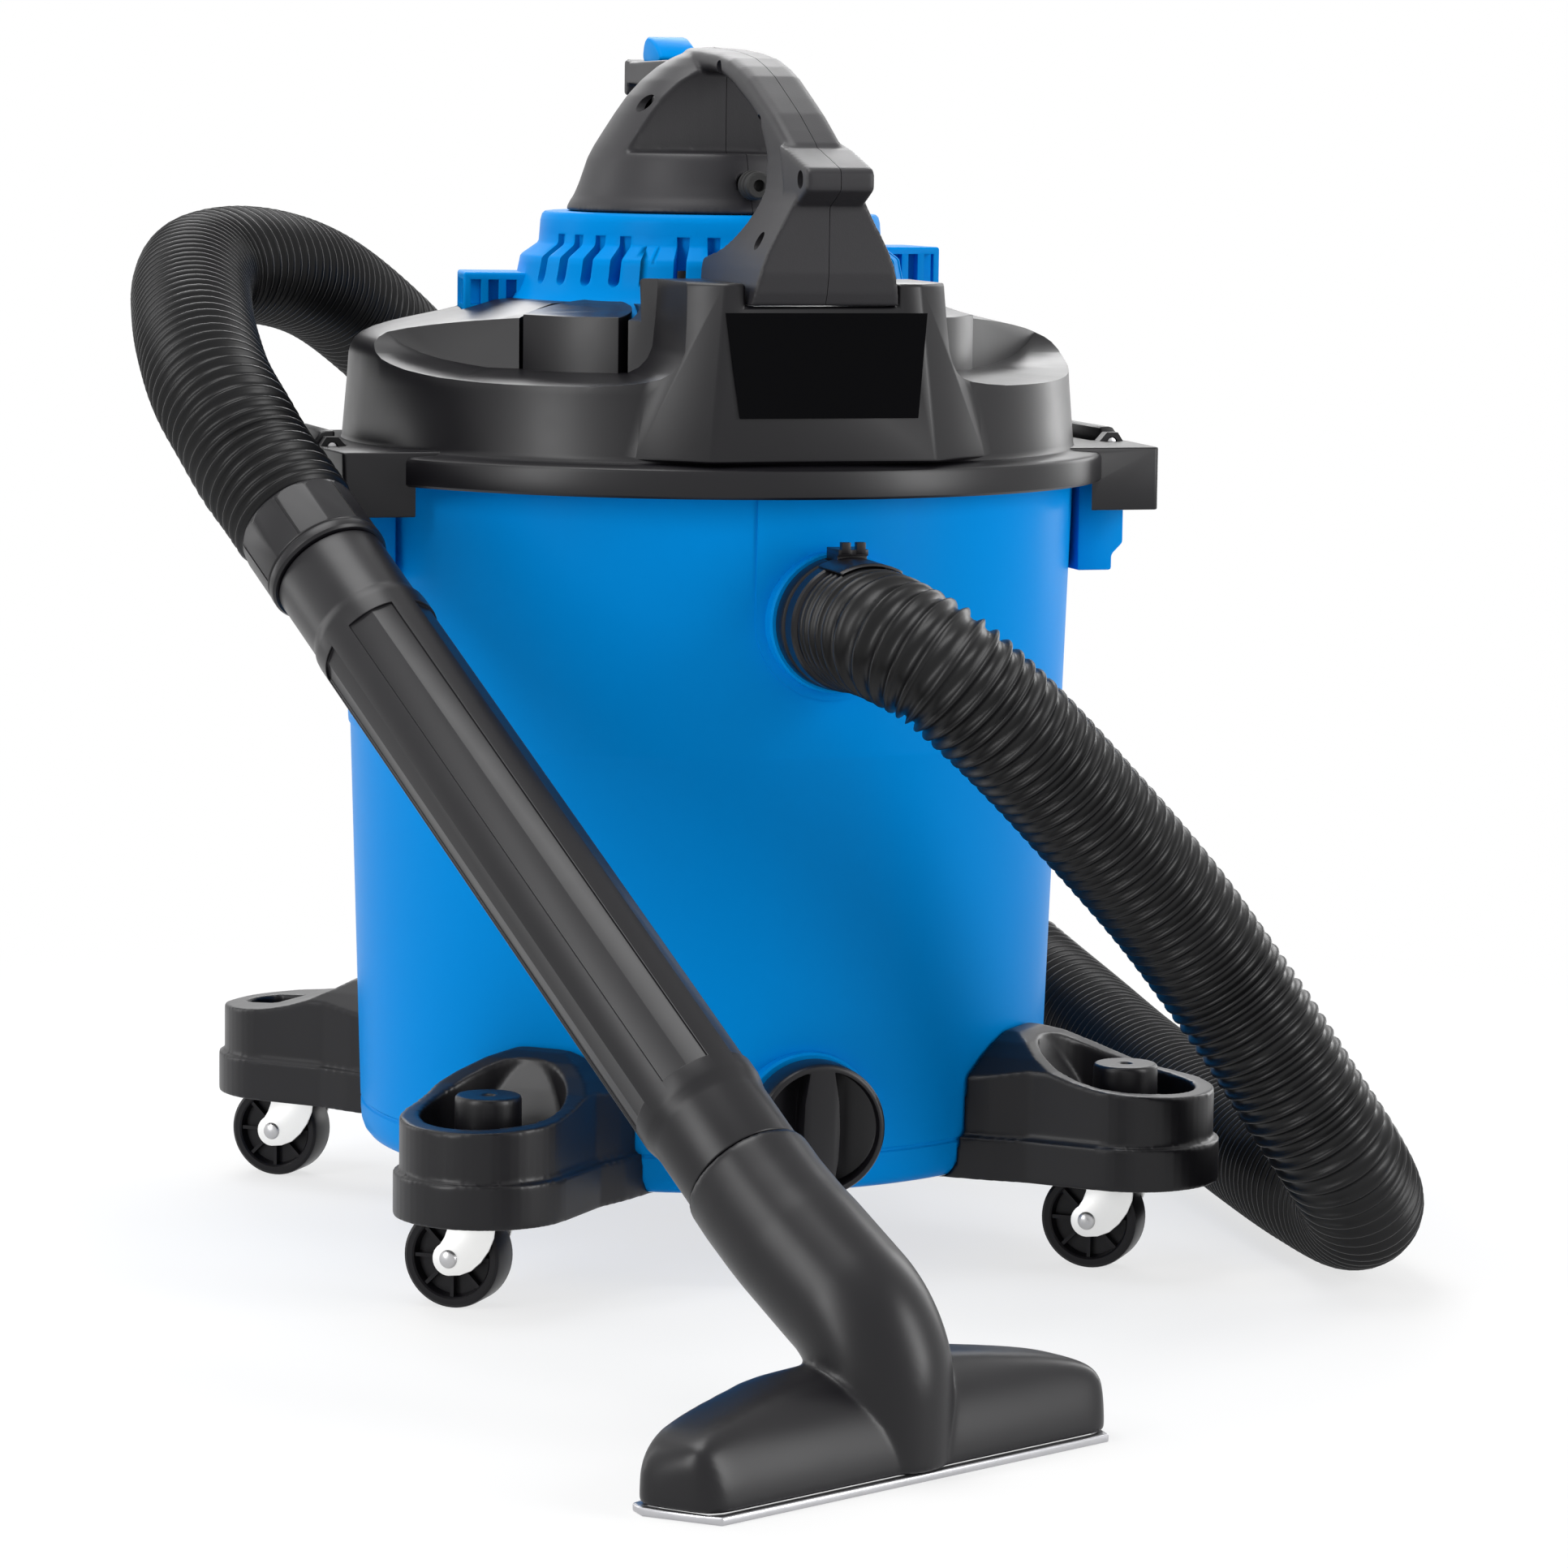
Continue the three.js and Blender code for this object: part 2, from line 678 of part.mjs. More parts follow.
function makeHeadBase() {
  const outer = turned([
    [0, BASE_Z],
    [112, BASE_Z],
    [112, 475],
    [105, 480],
    [93, 494],
    [88, 508],
    [87, 520],
    [84, BASE_TOP_Z],
    [0, BASE_TOP_Z],
  ], BIG_SIDES);
  const inner = turned([
    [0, BASE_Z - 5],
    [89, BASE_Z - 5],
    [89, 480],
    [85.5, 494],
    [81.5, 508],
    [81, 521.5],
    [0, 521.5],
  ], BIG_SIDES);
  const wing = (azimuth, width, z0, z1, reach) => moved(
    cut(
      block(80, reach, -width, width, z0, z1),
      block(112, reach + 5, -width + 4, -width / 3 - 2, z0 + 5, z1 - 4),
      block(112, reach + 5, -width / 3 + 2, width / 3 - 2, z0 + 5, z1 - 4),
      block(112, reach + 5, width / 3 + 2, width - 4, z0 + 5, z1 - 4),
    ),
    toAzimuth(azimuth),
  );
  const slots = [];
  for (let azimuth = 15; azimuth <= 345; azimuth += 15) {
    const slot = block(78, 100, -3, 3, 489, 505);
    if (Math.abs(azimuth - 95) > 14 && Math.abs(azimuth - 265) > 14) {
      slots.push(moved(slot, toAzimuth(azimuth)));
    }
  }
  return cut(
    join(outer, wing(-100, 22, BASE_Z, 494, 128), wing(96, 22, BASE_Z, 508, 120)),
    inner,
    rodZ(60, 0, 0, 515, 530, 32),
    ...slots,
  );
}

const DOME_OUTER = [
  [0, 525.3],
  [73.5, 525.3],
  [73.5, 528],
  [69, 535],
  [63.6, 551],
  [55, 566],
  [42.5, 586],
  [27, 600],
  [14, 607],
  [0, 609],
];
const DOME_INNER = [
  [0, 520],
  [70, 520],
  [70, 527],
  [65.8, 535],
  [60.4, 550],
  [52, 564],
  [39.8, 583.5],
  [25, 596.7],
  [12, 603.5],
  [0, 605],
];
const ARCH = [
  [-22, 607.7], [-50, 606], [-75, 603], [-107, 594], [-130, 584], [-148, 576], [-175, 562], [-172, 549],
  [-145, 545], [-141, 549], [-133.5, 562], [-124, 572], [-100, 582], [-62, 594], [-30, 596.5], [-22, 596],
];
const FRONT_LEG = [
  [-172, 560], [-145, 552], [-141, 549], [-145, 538], [-144, 530], [-138, 520], [-124, 511], [-108, 507],
  [-97, 505], [-97, 500], [-104, 492], [-113, 490], [-114, 484.5], [-193, 484.5], [-198, 498], [-198, 545],
];
const LEG_FRONT = [
  [-37.6, 484.5], [37.6, 484.5], [35.5, 492], [33.5, 503], [28, 515], [20, 531], [16, 541], [14.5, 552],
  [14.5, 575], [-14.5, 575], [-14.5, 552], [-16, 541], [-20, 531], [-28, 515], [-33.5, 503], [-35.5, 492],
];
const FRONT_HOOK = [[-172, 561], [-181, 559], [-213, 550.5], [-215, 548.5], [-215, 540], [-198, 532], [-180, 530]];
const REAR_HOOK = [
  [20, 592], [104, 592], [104, 584], [110, 584], [110, 602], [107, 603], [100, 601.5], [20, 602.5],
];
const HANDLE_SCREWS = {
  rear: [-20, 580, 41],
  upper: [-60, 597.5, HANDLE_HALF],
  middle: [-128, 571, HANDLE_HALF],
  front: [-204, 545, 17],
  lower: [-175, 515, 27.5],
};

function handleBody() {
  const domeOuter = cut(turned(DOME_OUTER, 28), block(-80, 80, -90, -28, 552, 620));
  const domeInner = cut(turned(DOME_INNER, 28), block(-80, 80, -90, -24.5, 548.5, 620));
  const leg = common(slabX(FRONT_LEG, -60, 60), slabY(LEG_FRONT, -205, -60));
  const outer = join(
    domeOuter,
    slabX(ARCH, -HANDLE_HALF, HANDLE_HALF),
    leg,
    slabX(FRONT_HOOK, -17, 17),
    slabX(REAR_HOOK, -15.5, 15.5),
  );
  const switchWell = block(-12, 12, 55, 95.5, 594.2, 625);
  const glandHole = rodY(6, 0, 540, -90, -50, 16);
  return cut(outer, domeInner, switchWell, glandHole);
}

function legHollow() {
  const profile = [
    [-150, 546], [-141, 530], [-128, 514], [-117, 510], [-117, 480], [-189, 480], [-194, 498], [-194, 530],
    [-180, 540],
  ];
  const front = [[-33.5, 480], [33.5, 480], [30, 503], [24.5, 514], [16, 529], [11, 541], [11, 560],
    [-11, 560], [-11, 541], [-16, 529], [-24.5, 514], [-30, 503]];
  return common(slabX(profile, -60, 60), slabY(front, -205, -60));
}

function makeHandleShells() {
  const solid = cut(handleBody(), legHollow());
  const { rear, lower } = HANDLE_SCREWS;
  const bosses = [rear, lower].map(([y, z, half]) => rodX(6, y, z, -half + 1, half - 1, 10));
  const body = join(solid, ...bosses);
  const bores = Object.values(HANDLE_SCREWS).map(([y, z, half]) => join(
    rodX(1.9, y, z, -half - 20, half - 3, 8),
    rodX(4.6, y, z, -half - 20, -half + 2.4, 12),
  ));
  const drilled = cut(body, ...bores);
  return [
    common(drilled, block(-100, -SPLIT, -240, 130, 470, 630)),
    common(drilled, block(SPLIT, 100, -240, 130, 470, 630)),
  ];
}

function makeHandleScrew([y, z, half]) {
  return join(
    rodX(1.5, y, z, -half + 1, half - 4, 8),
    cut(rodX(4.1, y, z, -half - 0.3, -half + 2, 12), block(-half - 2, -half + 0.6, y - 3, y + 3, z - 0.6, z + 0.6)),
  );
}

function makeSwitch() {
  const rocker = slabX([
    [58.5, 603], [62, 607], [74, 612], [84, 614.5], [90.5, 610], [92, 603], [89, 601], [75, 595.6], [62, 601],
  ], -10.5, 10.5);
  return cut(rocker, rodX(1.9, SWITCH_Y, SWITCH_Z, -12, 12, 10));
}

function makeSwitchPin() {
  return rodX(1.5, SWITCH_Y, SWITCH_Z, -11.7, 11.7, 10);
}

function makeGland() {
  return join(
    rodY(5.5, 0, 540, -79, -56, 16),
    rodY(7.4, 0, 540, -60.5, -57, 16),
    rodY(7.5, 0, 540, -84, -72, 16),
  );
}

// ---- suction stack ------------------------------------------------------

function makePan() {
  return turned([
    [18, 430],
    [PAN_R, 430],
    [PAN_R, BASE_Z],
    [85, BASE_Z],
    [85, 476],
    [64, 476],
    [64, 433],
    [18, 433],
    [18, 430],
  ], 24);
}

function makeImpeller() {
  const disc = ring(6, IMPELLER_R, 451, 453, 24);
  const hub = ring(4.6, 12, 441, 453, 12);
  const cover = ring(24, IMPELLER_R, 441, 442.5, 24);
  const blades = [];
  for (let i = 0; i < 6; i += 1) {
    const blade = block(10, IMPELLER_R - 1, -0.8, 0.8, 442, 452);
    blades.push(moved(blade, new THREE.Matrix4().makeRotationZ(i * 60 * DEG)));
  }
  return join(disc, hub, cover, ...blades);
}

function makeMotor() {
  return turned([
    [4.8, 457],
    [63.4, 457],
    [63.4, 461],
    [MOTOR_R, 461],
    [MOTOR_R, 505],
    [36, 508],
    [36, 532],
    [22, 540],
    [4.8, 540],
    [4.8, 457],
  ], 24);
}

function makeShaft() {
  return turned([[0, 438], [4.2, 438], [4.2, 545], [0, 545]], 12);
}

function makeCage() {
  const wall = ring(CAGE_R - 3, CAGE_R, 300, 427, 24);
  const windows = [];
  for (let i = 0; i < 6; i += 1) {
    const window = block(30, 60, -17, 17, 312, 412);
    windows.push(moved(window, new THREE.Matrix4().makeRotationZ(i * 60 * DEG)));
  }
  return join(
    cut(wall, ...windows),
    ring(33, 62, 426, 429.6, 24),
    rodZ(CAGE_R, 0, 0, 298, CAGE_FLOOR_Z, 24),
    rodZ(6, 0, 0, 290, 299, 12),
  );
}

function makeFloat() {
  return asSolid(new THREE.SphereGeometry(FLOAT_R, 14, 8).rotateX(Math.PI / 2).translate(0, 0, FLOAT_Z));
}

function makeFilter() {
  const outer = [];
  const inner = [];
  for (let i = 0; i < 40; i += 1) {
    const angle = i * 9 * DEG;
    const r = i % 2 === 0 ? FILTER_R - 0.5 : FILTER_R - 8;
    outer.push([r * Math.cos(angle), r * Math.sin(angle)]);
    inner.push([(r - 12) * Math.cos(angle), (r - 12) * Math.sin(angle)]);
  }
  return join(
    plate(outer, 314, 418, [inner.reverse()]),
    ring(53, FILTER_R, 306.4, 315, 24),
    ring(53, FILTER_R, 417, 425.6, 24),
  );
}

function makeRetainer() {
  const disc = turned([[0, 295], [84, 295], [84, 306], [78, 306], [78, 298.4], [52, 298.4], [52, 303],
    [50.8, 303], [50.8, 297.4], [6.6, 297.4], [6.6, 291], [0, 291]], 24);
  const knob = join(rodZ(16, 0, 0, 283, 289, 16), rodZ(14, 0, 0, 288, 296, 16), block(-30, 30, -4, 4, 283, 296));
  return cut(join(disc, knob), rodZ(6.6, 0, 0, 288.8, 310, 12));
}

// ---- hose, wand and nozzle ----------------------------------------------

function circle(radius, sides) {
  return arc(0, 0, radius, 0, 360 - 360 / sides, sides - 1);
}

function makeHose() {
  const route = HOSE_ROUTE.map((p) => new THREE.Vector3(p[0], p[1], p[2]));
  const path = new THREE.CatmullRomCurve3(route, false, 'centripetal');
  const shape = new THREE.Shape(circle(HOSE_R, 8).map((p) => new THREE.Vector2(p[0], p[1])));
  shape.holes.push(new THREE.Path(circle(HOSE_BORE_R, 8).reverse().map((p) => new THREE.Vector2(p[0], p[1]))));
  return asSolid(new THREE.ExtrudeGeometry(shape, { steps: 60, bevelEnabled: false, extrudePath: path }));
}

const wandLow = new THREE.Vector3(...WAND_LOW);
const wandHigh = new THREE.Vector3(...WAND_HIGH);
const wandAxis = wandHigh.clone().sub(wandLow).normalize();
const wandLength = wandHigh.clone().sub(wandLow).length();

// frame with +Z along the wand and +X level, pointing to the right of the nozzle
function wandFrame() {
  const z = wandAxis.clone();
  const x = new THREE.Vector3(0, 0, 1).cross(z).multiplyScalar(-1).normalize();
  const y = z.clone().cross(x);
  return new THREE.Matrix4().makeBasis(x, y, z).setPosition(wandLow);
}

function makeWand() {
  const end = wandLength;
  const tube = turned([
    [SPIGOT_R, 36],
    [WAND_COLLAR_R, 36],
    [WAND_COLLAR_R, 68],
    [WAND_R, 74],
    [WAND_R, end - 44],
    [WAND_COLLAR_R, end - 38],
    [WAND_COLLAR_R, end - 1.6],
    [WAND_BORE_R, end - 1.6],
    [WAND_BORE_R, 44],
    [SPIGOT_R - 2.6, 40],
    [SPIGOT_R - 2.6, -10],
    [SPIGOT_R, -10],
    [SPIGOT_R, 36],
  ], 24);
  const flutes = [];
  for (let i = 0; i < 8; i += 1) {
    const flute = block(WAND_R - 1.8, WAND_R + 4, -4, 4, 82, end - 54);
    flutes.push(moved(flute, new THREE.Matrix4().makeRotationZ(i * 45 * DEG)));
  }
  return moved(cut(tube, ...flutes), wandFrame());
}

function makeWandCuff() {
  const end = wandLength;
  return moved(turned([
    [22, end - 50],
    [25.4, end - 50],
    [25.6, end - 1.2],
    [29.6, end - 1.2],
    [CUFF_R, end],
    [CUFF_R, end + 33],
    [29, end + 35],
    [22, end + 35],
    [22, end - 50],
  ], 20), wandFrame());
}

// nozzle axes: level run along the mouth, and the way it faces
const MOUTH_ALONG = new THREE.Vector3(0.908, 0.419, 0);
const MOUTH_FACE = new THREE.Vector3(0.419, -0.908, 0);
const MOUTH_MID = new THREE.Vector3(-68, -554.5, 0);

function nozzleFrame() {
  const up = new THREE.Vector3(0, 0, 1);
  return new THREE.Matrix4().makeBasis(MOUTH_ALONG, MOUTH_FACE.clone().negate(), up).setPosition(MOUTH_MID);
}

function mouthOutline(grow) {
  const rear = [[66, 52], [40, 58], [-40, 58], [-66, 52]].map(([u, v]) => [u, v + grow]);
  return [
    [-112 - grow, -grow], [112 + grow, -grow], [127 + grow, 32], [124 + grow, 40 + grow],
    ...rear, [-124 - grow, 40 + grow], [-127 - grow, 32],
  ];
}

function makeNozzle() {
  const side = [[0, 4], [62, 4], [62, 30], [54, 40], [34, 46], [14, 40], [3, 27], [0, 15]];
  const front = [
    [-128, 4], [-127, 12], [-122, 22], [-109, 31], [-84, 37], [-40, 44], [40, 44], [84, 37], [109, 31],
    [122, 22], [127, 12], [128, 4],
  ];
  const body = common(plate(mouthOutline(0), 4, 48), slabX(side, -130, 130), slabY(front, -10, 80));
  const insideSide = [[3, 0], [58, 0], [58, 28], [51, 37], [34, 42.5], [16, 37], [6, 25], [3, 14]];
  const insideFront = [
    [-124, 0], [-123.5, 11], [-119, 20], [-108, 27.5], [-83, 33.5], [-40, 40.5], [40, 40.5], [83, 33.5],
    [108, 27.5], [119, 20], [123.5, 11], [124, 0],
  ];
  const hollow = common(plate(mouthOutline(-3.2), 0, 46), slabX(insideSide, -130, 130), slabY(insideFront, -10, 80));
  const place = nozzleFrame();
  const throat = [[8, 6], [66, 6], [84, 40], [140, 85], [140, 160], [57, 160], [31, 92], [8, 32]];
  const neck = common(
    moved(turned([[0, -120], [31, -120], [31, -8], [29.6, 0], [29.6, 35.6], [0, 35.6]], 24), wandFrame()),
    moved(slabX(throat, -60, 60), place),
  );
  const bore = moved(turned([[0, -48], [SPIGOT_R + 0.3, -48], [SPIGOT_R + 0.3, 50], [0, 50]], 24), wandFrame());
  const passage = moved(block(-22, 22, 32, 52, 30, 62), place);
  return cut(join(moved(body, place), neck), moved(hollow, place), bore, passage);
}

function makeNozzleLip() {
  const inner = mouthOutline(-3.4).reverse();
  return moved(plate(mouthOutline(1.5), 0, 3.7, [inner]), nozzleFrame());
}

// ---- assembly -----------------------------------------------------------

addNode('tank', makeTank(), BLUE);
addNode('drain_gasket', makeDrainGasket(), RUBBER);
addNode('drain_cap', makeDrainCap(), BLACK);
addNode('inlet_collar', makeInletCollar(), BLACK);
addNode('hose_tank_cuff', makeTankCuff(), BLACK);
addNode('hose_lock_tab', makeLockTab(), BLACK);

for (const [corner, azimuth] of Object.entries(FOOT_AZ)) {
  const onFoot = toAzimuth(azimuth);
  const [x, y] = atAzimuth(azimuth, SWIVEL_R);
  const trail = Math.atan2(TRAIL_DIR[1], TRAIL_DIR[0]);
  const onCaster = new THREE.Matrix4().makeTranslation(x, y, 0);
  onCaster.multiply(new THREE.Matrix4().makeRotationZ(trail));
  const foot = makeFoot(corner.startsWith('f'));
  addNode(`foot_${corner}`, cut(moved(foot, onFoot), tankOuter(0.35)), BLACK);
  addNode(`foot_screw_${corner}`, moved(makeFootScrew(), onFoot), STEEL);
  addNode(`caster_fork_${corner}`, moved(makeFork(), onCaster), ZINC);
  addNode(`caster_axle_${corner}`, moved(makeAxle(), onCaster), STEEL);
  addNode(`caster_wheel_${corner}`, moved(makeWheel(), onCaster), BLACK);
}

addNode('lid_seal', makeLidSeal(), RUBBER);
addNode('lid', makeLid(), BLACK);
addNode('label_plate', makeLabelPlate(), GLOSS_BLACK);
addNode('latch_right', makeLatch(), BLACK);
addNode('latch_left', mirrored(makeLatch()), BLACK);
addNode('latch_pin_right', makeLatchPin(), STEEL);
addNode('latch_pin_left', mirrored(makeLatchPin()), STEEL);

addNode('head_base', makeHeadBase(), BLUE);
const [leftShell, rightShell] = makeHandleShells();
addNode('handle_shell_left', leftShell, BLACK);
addNode('handle_shell_right', rightShell, BLACK);
for (const [where, spot] of Object.entries(HANDLE_SCREWS)) {
  addNode(`handle_screw_${where}`, makeHandleScrew(spot), STEEL);
}
addNode('power_switch', makeSwitch(), BLUE);
addNode('switch_pin', makeSwitchPin(), STEEL);
addNode('cord_gland', makeGland(), RUBBER);

addNode('fan_housing', makePan(), BLACK);
addNode('impeller', makeImpeller(), STEEL);
addNode('motor', makeMotor(), COPPER);
addNode('motor_shaft', makeShaft(), STEEL);
addNode('filter_cage', makeCage(), BLACK);
addNode('float_ball', makeFloat(), WHITE);
addNode('cartridge_filter', makeFilter(), PAPER);
addNode('filter_retainer', makeRetainer(), BLACK);

addNode('wand', makeWand(), BLACK);
addNode('hose_wand_cuff', makeWandCuff(), BLACK);
addNode('floor_nozzle', makeNozzle(), BLACK);
addNode('nozzle_lip', makeNozzleLip(), SILVER);

// the origin stands under the middle of everything but the hose
group.updateMatrixWorld(true);
const extent = new THREE.Box3().setFromObject(group);
const middle = extent.getCenter(new THREE.Vector3());
addNode('hose', makeHose(), HOSE_BLACK);
group.position.set(-middle.x, -middle.y, -extent.min.z);
group.updateMatrixWorld(true);

export default group;
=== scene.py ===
# %% [markdown]
# # A shop vacuum, dressed in Blender
#
# The frame holds the imported model: every body, joint and solid of the vacuum at its real size. This
# script models the visible pieces over those solids with Blender's own tools, gives each one a
# finish, and makes it ride on its body, so that the lid lifts, the latches swing and the casters roll.
# The lesson goes from the camera to the hose, the tank, the feet, the lid and the handle, and ends
# with the wand and the floor nozzle.

# %% Load the frame
import json
import math

import bmesh
import bpy
from mathutils import Matrix, Vector


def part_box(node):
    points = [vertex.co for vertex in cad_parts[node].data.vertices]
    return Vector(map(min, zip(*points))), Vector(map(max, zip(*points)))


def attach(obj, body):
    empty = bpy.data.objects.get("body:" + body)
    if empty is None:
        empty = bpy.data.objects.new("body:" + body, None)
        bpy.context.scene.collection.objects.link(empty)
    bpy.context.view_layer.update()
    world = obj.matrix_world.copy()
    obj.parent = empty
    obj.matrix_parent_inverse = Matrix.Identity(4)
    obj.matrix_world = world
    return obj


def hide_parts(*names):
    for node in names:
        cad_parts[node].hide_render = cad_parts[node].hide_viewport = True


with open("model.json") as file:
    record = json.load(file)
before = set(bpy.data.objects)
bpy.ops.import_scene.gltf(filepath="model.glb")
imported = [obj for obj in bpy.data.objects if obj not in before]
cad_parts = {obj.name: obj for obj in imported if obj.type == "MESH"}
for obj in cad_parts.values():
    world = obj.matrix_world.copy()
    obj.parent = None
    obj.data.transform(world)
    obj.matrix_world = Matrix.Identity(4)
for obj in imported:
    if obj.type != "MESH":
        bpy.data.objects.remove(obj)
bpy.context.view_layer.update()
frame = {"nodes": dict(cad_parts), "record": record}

nodes = frame["nodes"]
seal_low, seal_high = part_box("lid_seal")
AXIS = Vector(((seal_low[0] + seal_high[0]) / 2, (seal_low[1] + seal_high[1]) / 2, 0))
MM = 0.001
print("tank axis stands at", tuple(round(v, 4) for v in AXIS))

# %% [markdown]
# ## Where things are
#
# The pieces are drawn in millimetres about the tank's upright axis, with the front towards -Y, because
# that is how the real mouldings are dimensioned. `at_axis` turns such a point into one of the frame.

# %% Points about the tank axis
def at_axis(x, y, z):
    return AXIS + Vector((x, y, z)) * MM


def around(azimuth, radius):
    angle = math.radians(azimuth)
    return radius * math.sin(angle), -radius * math.cos(angle)


def turn_to(azimuth):
    return Matrix.Rotation(math.radians(azimuth - 90), 4, "Z")


# %% [markdown]
# ## Camera
#
# A long lens far away keeps the round tank from swelling at its near side. The camera stands a little
# left of the middle and looks slightly down, so the deck of the lid just shows.

# %% Camera
CAMERA_AT = (-817.0, -2709.4, 581.3)
CAMERA_TURN = (82.927, -0.742, -17.530)
bpy.ops.object.camera_add(location=at_axis(*CAMERA_AT), rotation=[math.radians(a) for a in CAMERA_TURN])
camera = bpy.context.object
camera.data.lens = 126.12
camera.data.sensor_width = 36
camera.data.clip_end = 50
bpy.context.scene.camera = camera

# %% [markdown]
# ## Floor, world and lamps
#
# The vacuum stands in a bright studio: a wide pale floor, an even white surround, and large soft panels.
# The camera and the reflections see the surround at full white, and the plastic is lit by a weaker one,
# so the background is bright without more light falling on the plastic.

# %% Shader nodes
WHITE = (1, 1, 1, 1)


def fill(tree, node, sockets):
    """gives each named socket a plain value, or a link where the value is another node's output"""
    for key, value in sockets.items():
        if isinstance(value, bpy.types.NodeSocket):
            tree.links.new(value, node.inputs[key])
        else:
            node.inputs[key].default_value = value
    return node


def add_node(tree, kind, sockets, **settings):
    node = tree.nodes.new("ShaderNode" + kind)
    for name, value in settings.items():
        setattr(node, name, value)
    return fill(tree, node, sockets)


def backdrop_share(tree):
    """1 where a ray should meet the plain background: from the camera, off a gloss surface or through glass"""
    path = add_node(tree, "LightPath", {})
    share = path.outputs["Is Camera Ray"]
    for kind in ("Is Glossy Ray", "Is Transmission Ray"):
        share = add_node(tree, "Math", {0: share, 1: path.outputs[kind]}, operation="MAXIMUM").outputs[0]
    return share


# %% Floor
POOL_RADIUS = 1.7
POOL_INNER = 0.72
POOL_OUTER = 0.30

bpy.ops.mesh.primitive_plane_add(size=14, location=(0, 0, 0))
floor = bpy.context.object
floor.name = "floor"


def pale_paint(name, colour, near_share, far_share):
    """a matt paint that is seen brighter the farther it lies from the vacuum"""
    paint = bpy.data.materials.new(name)
    paint.use_nodes = True
    tree = paint.node_tree
    shader = fill(tree, tree.nodes["Principled BSDF"], {"Base Color": (*colour, 1), "Roughness": 0.9})
    where = add_node(tree, "TexCoord", {})
    flat_scale = (1 / POOL_RADIUS, 1 / POOL_RADIUS, 1)
    pool = add_node(tree, "Mapping", {"Vector": where.outputs["Object"], "Scale": flat_scale})
    ball = add_node(tree, "TexGradient", {"Vector": pool.outputs[0]}, gradient_type="SPHERICAL")
    share = add_node(
        tree,
        "MapRange",
        {"Value": ball.outputs["Fac"], "From Min": POOL_INNER, "From Max": POOL_OUTER, "To Min": near_share,
         "To Max": far_share},
        interpolation_type="SMOOTHSTEP",
    )
    seen = add_node(tree, "Math", {0: backdrop_share(tree), 1: share.outputs["Result"]}, operation="MULTIPLY")
    bright = add_node(tree, "Emission", {"Color": WHITE})
    mix = add_node(tree, "MixShader", {"Fac": seen.outputs[0], 1: shader.outputs[0], 2: bright.outputs[0]})
    fill(tree, tree.nodes["Material Output"], {"Surface": mix.outputs[0]})
    return paint


floor.data.materials.append(pale_paint("pale floor", (0.84, 0.84, 0.84), 0.70, 1.0))

# %% World
SURROUND_LEVEL = 0.30

world = bpy.data.worlds.new("studio")
bpy.context.scene.world = world
world.use_nodes = True
tree = world.node_tree
surround = fill(tree, tree.nodes["Background"], {"Color": WHITE, "Strength": SURROUND_LEVEL})
backdrop = add_node(tree, "Background", {"Color": WHITE, "Strength": 1.0})
mix = add_node(tree, "MixShader", {"Fac": backdrop_share(tree), 1: surround.outputs[0], 2: backdrop.outputs[0]})
fill(tree, tree.nodes["World Output"], {"Surface": mix.outputs[0]})
bpy.context.scene.view_settings.view_transform = "Standard"


# %% Soft panels
TANK_MIDDLE = at_axis(0, 0, 300)
PANELS = [
    ("panel over the top", (-0.6, 0.1, 2.4), (1.8, 1.4), 42),
    ("panel over the back", (0.5, 2.1, 1.35), (1.8, 0.7), 26),
    ("panel right of the front", (1.9, -1.9, 0.7), (0.8, 1.9), 44),
    ("panel left of the front", (-2.3, -1.1, 0.9), (0.5, 1.9), 32),
    ("strip behind the left edge", (-1.9, 1.3, 0.5), (0.4, 2.0), 10),
    ("strip behind the right edge", (2.1, 1.2, 0.7), (0.5, 1.8), 16),
]

for name, offset, size, power in PANELS:
    place = TANK_MIDDLE + Vector(offset)
    bpy.ops.object.light_add(type="AREA", location=place)
    lamp = bpy.context.object
    lamp.name = name
    lamp.data.shape = "RECTANGLE"
    lamp.data.size, lamp.data.size_y = size
    lamp.data.energy = power
    lamp.rotation_euler = (TANK_MIDDLE - place).to_track_quat("-Z", "Y").to_euler()
print(len(PANELS), "soft panels stand round the vacuum")

# %% [markdown]
# ## Working by hand, in code
#
# Each helper below is one habit of the hand: pick one thing, enter edit mode, pull an edge loop, cut
# with a tool, round the edges, and put the finished piece on its body. Nothing stays selected between
# steps, because an operator acts on all that is selected.

# %% Picking
def pick(*things):
    if bpy.context.object and bpy.context.object.mode != "OBJECT":
        bpy.ops.object.mode_set(mode="OBJECT")
    bpy.ops.object.select_all(action="DESELECT")
    for thing in things:
        thing.select_set(True)
    bpy.context.view_layer.objects.active = things[0]


def start(name):
    piece = bpy.context.object
    piece.name = name
    piece.data.name = name
    return piece


def into_edit(piece):
    pick(piece)
    bpy.ops.object.mode_set(mode="EDIT")
    bpy.ops.mesh.select_all(action="SELECT")


def out_of_edit():
    bpy.ops.object.mode_set(mode="OBJECT")


# %% [markdown]
# A turned piece starts as a circle. The edge loop is pulled up and resized once for each point of the
# profile, which is how a lathe shape is drawn by hand without a spin. A profile that comes back to its
# start becomes a ring. Points on the axis are skipped, because the open ends are filled flat.

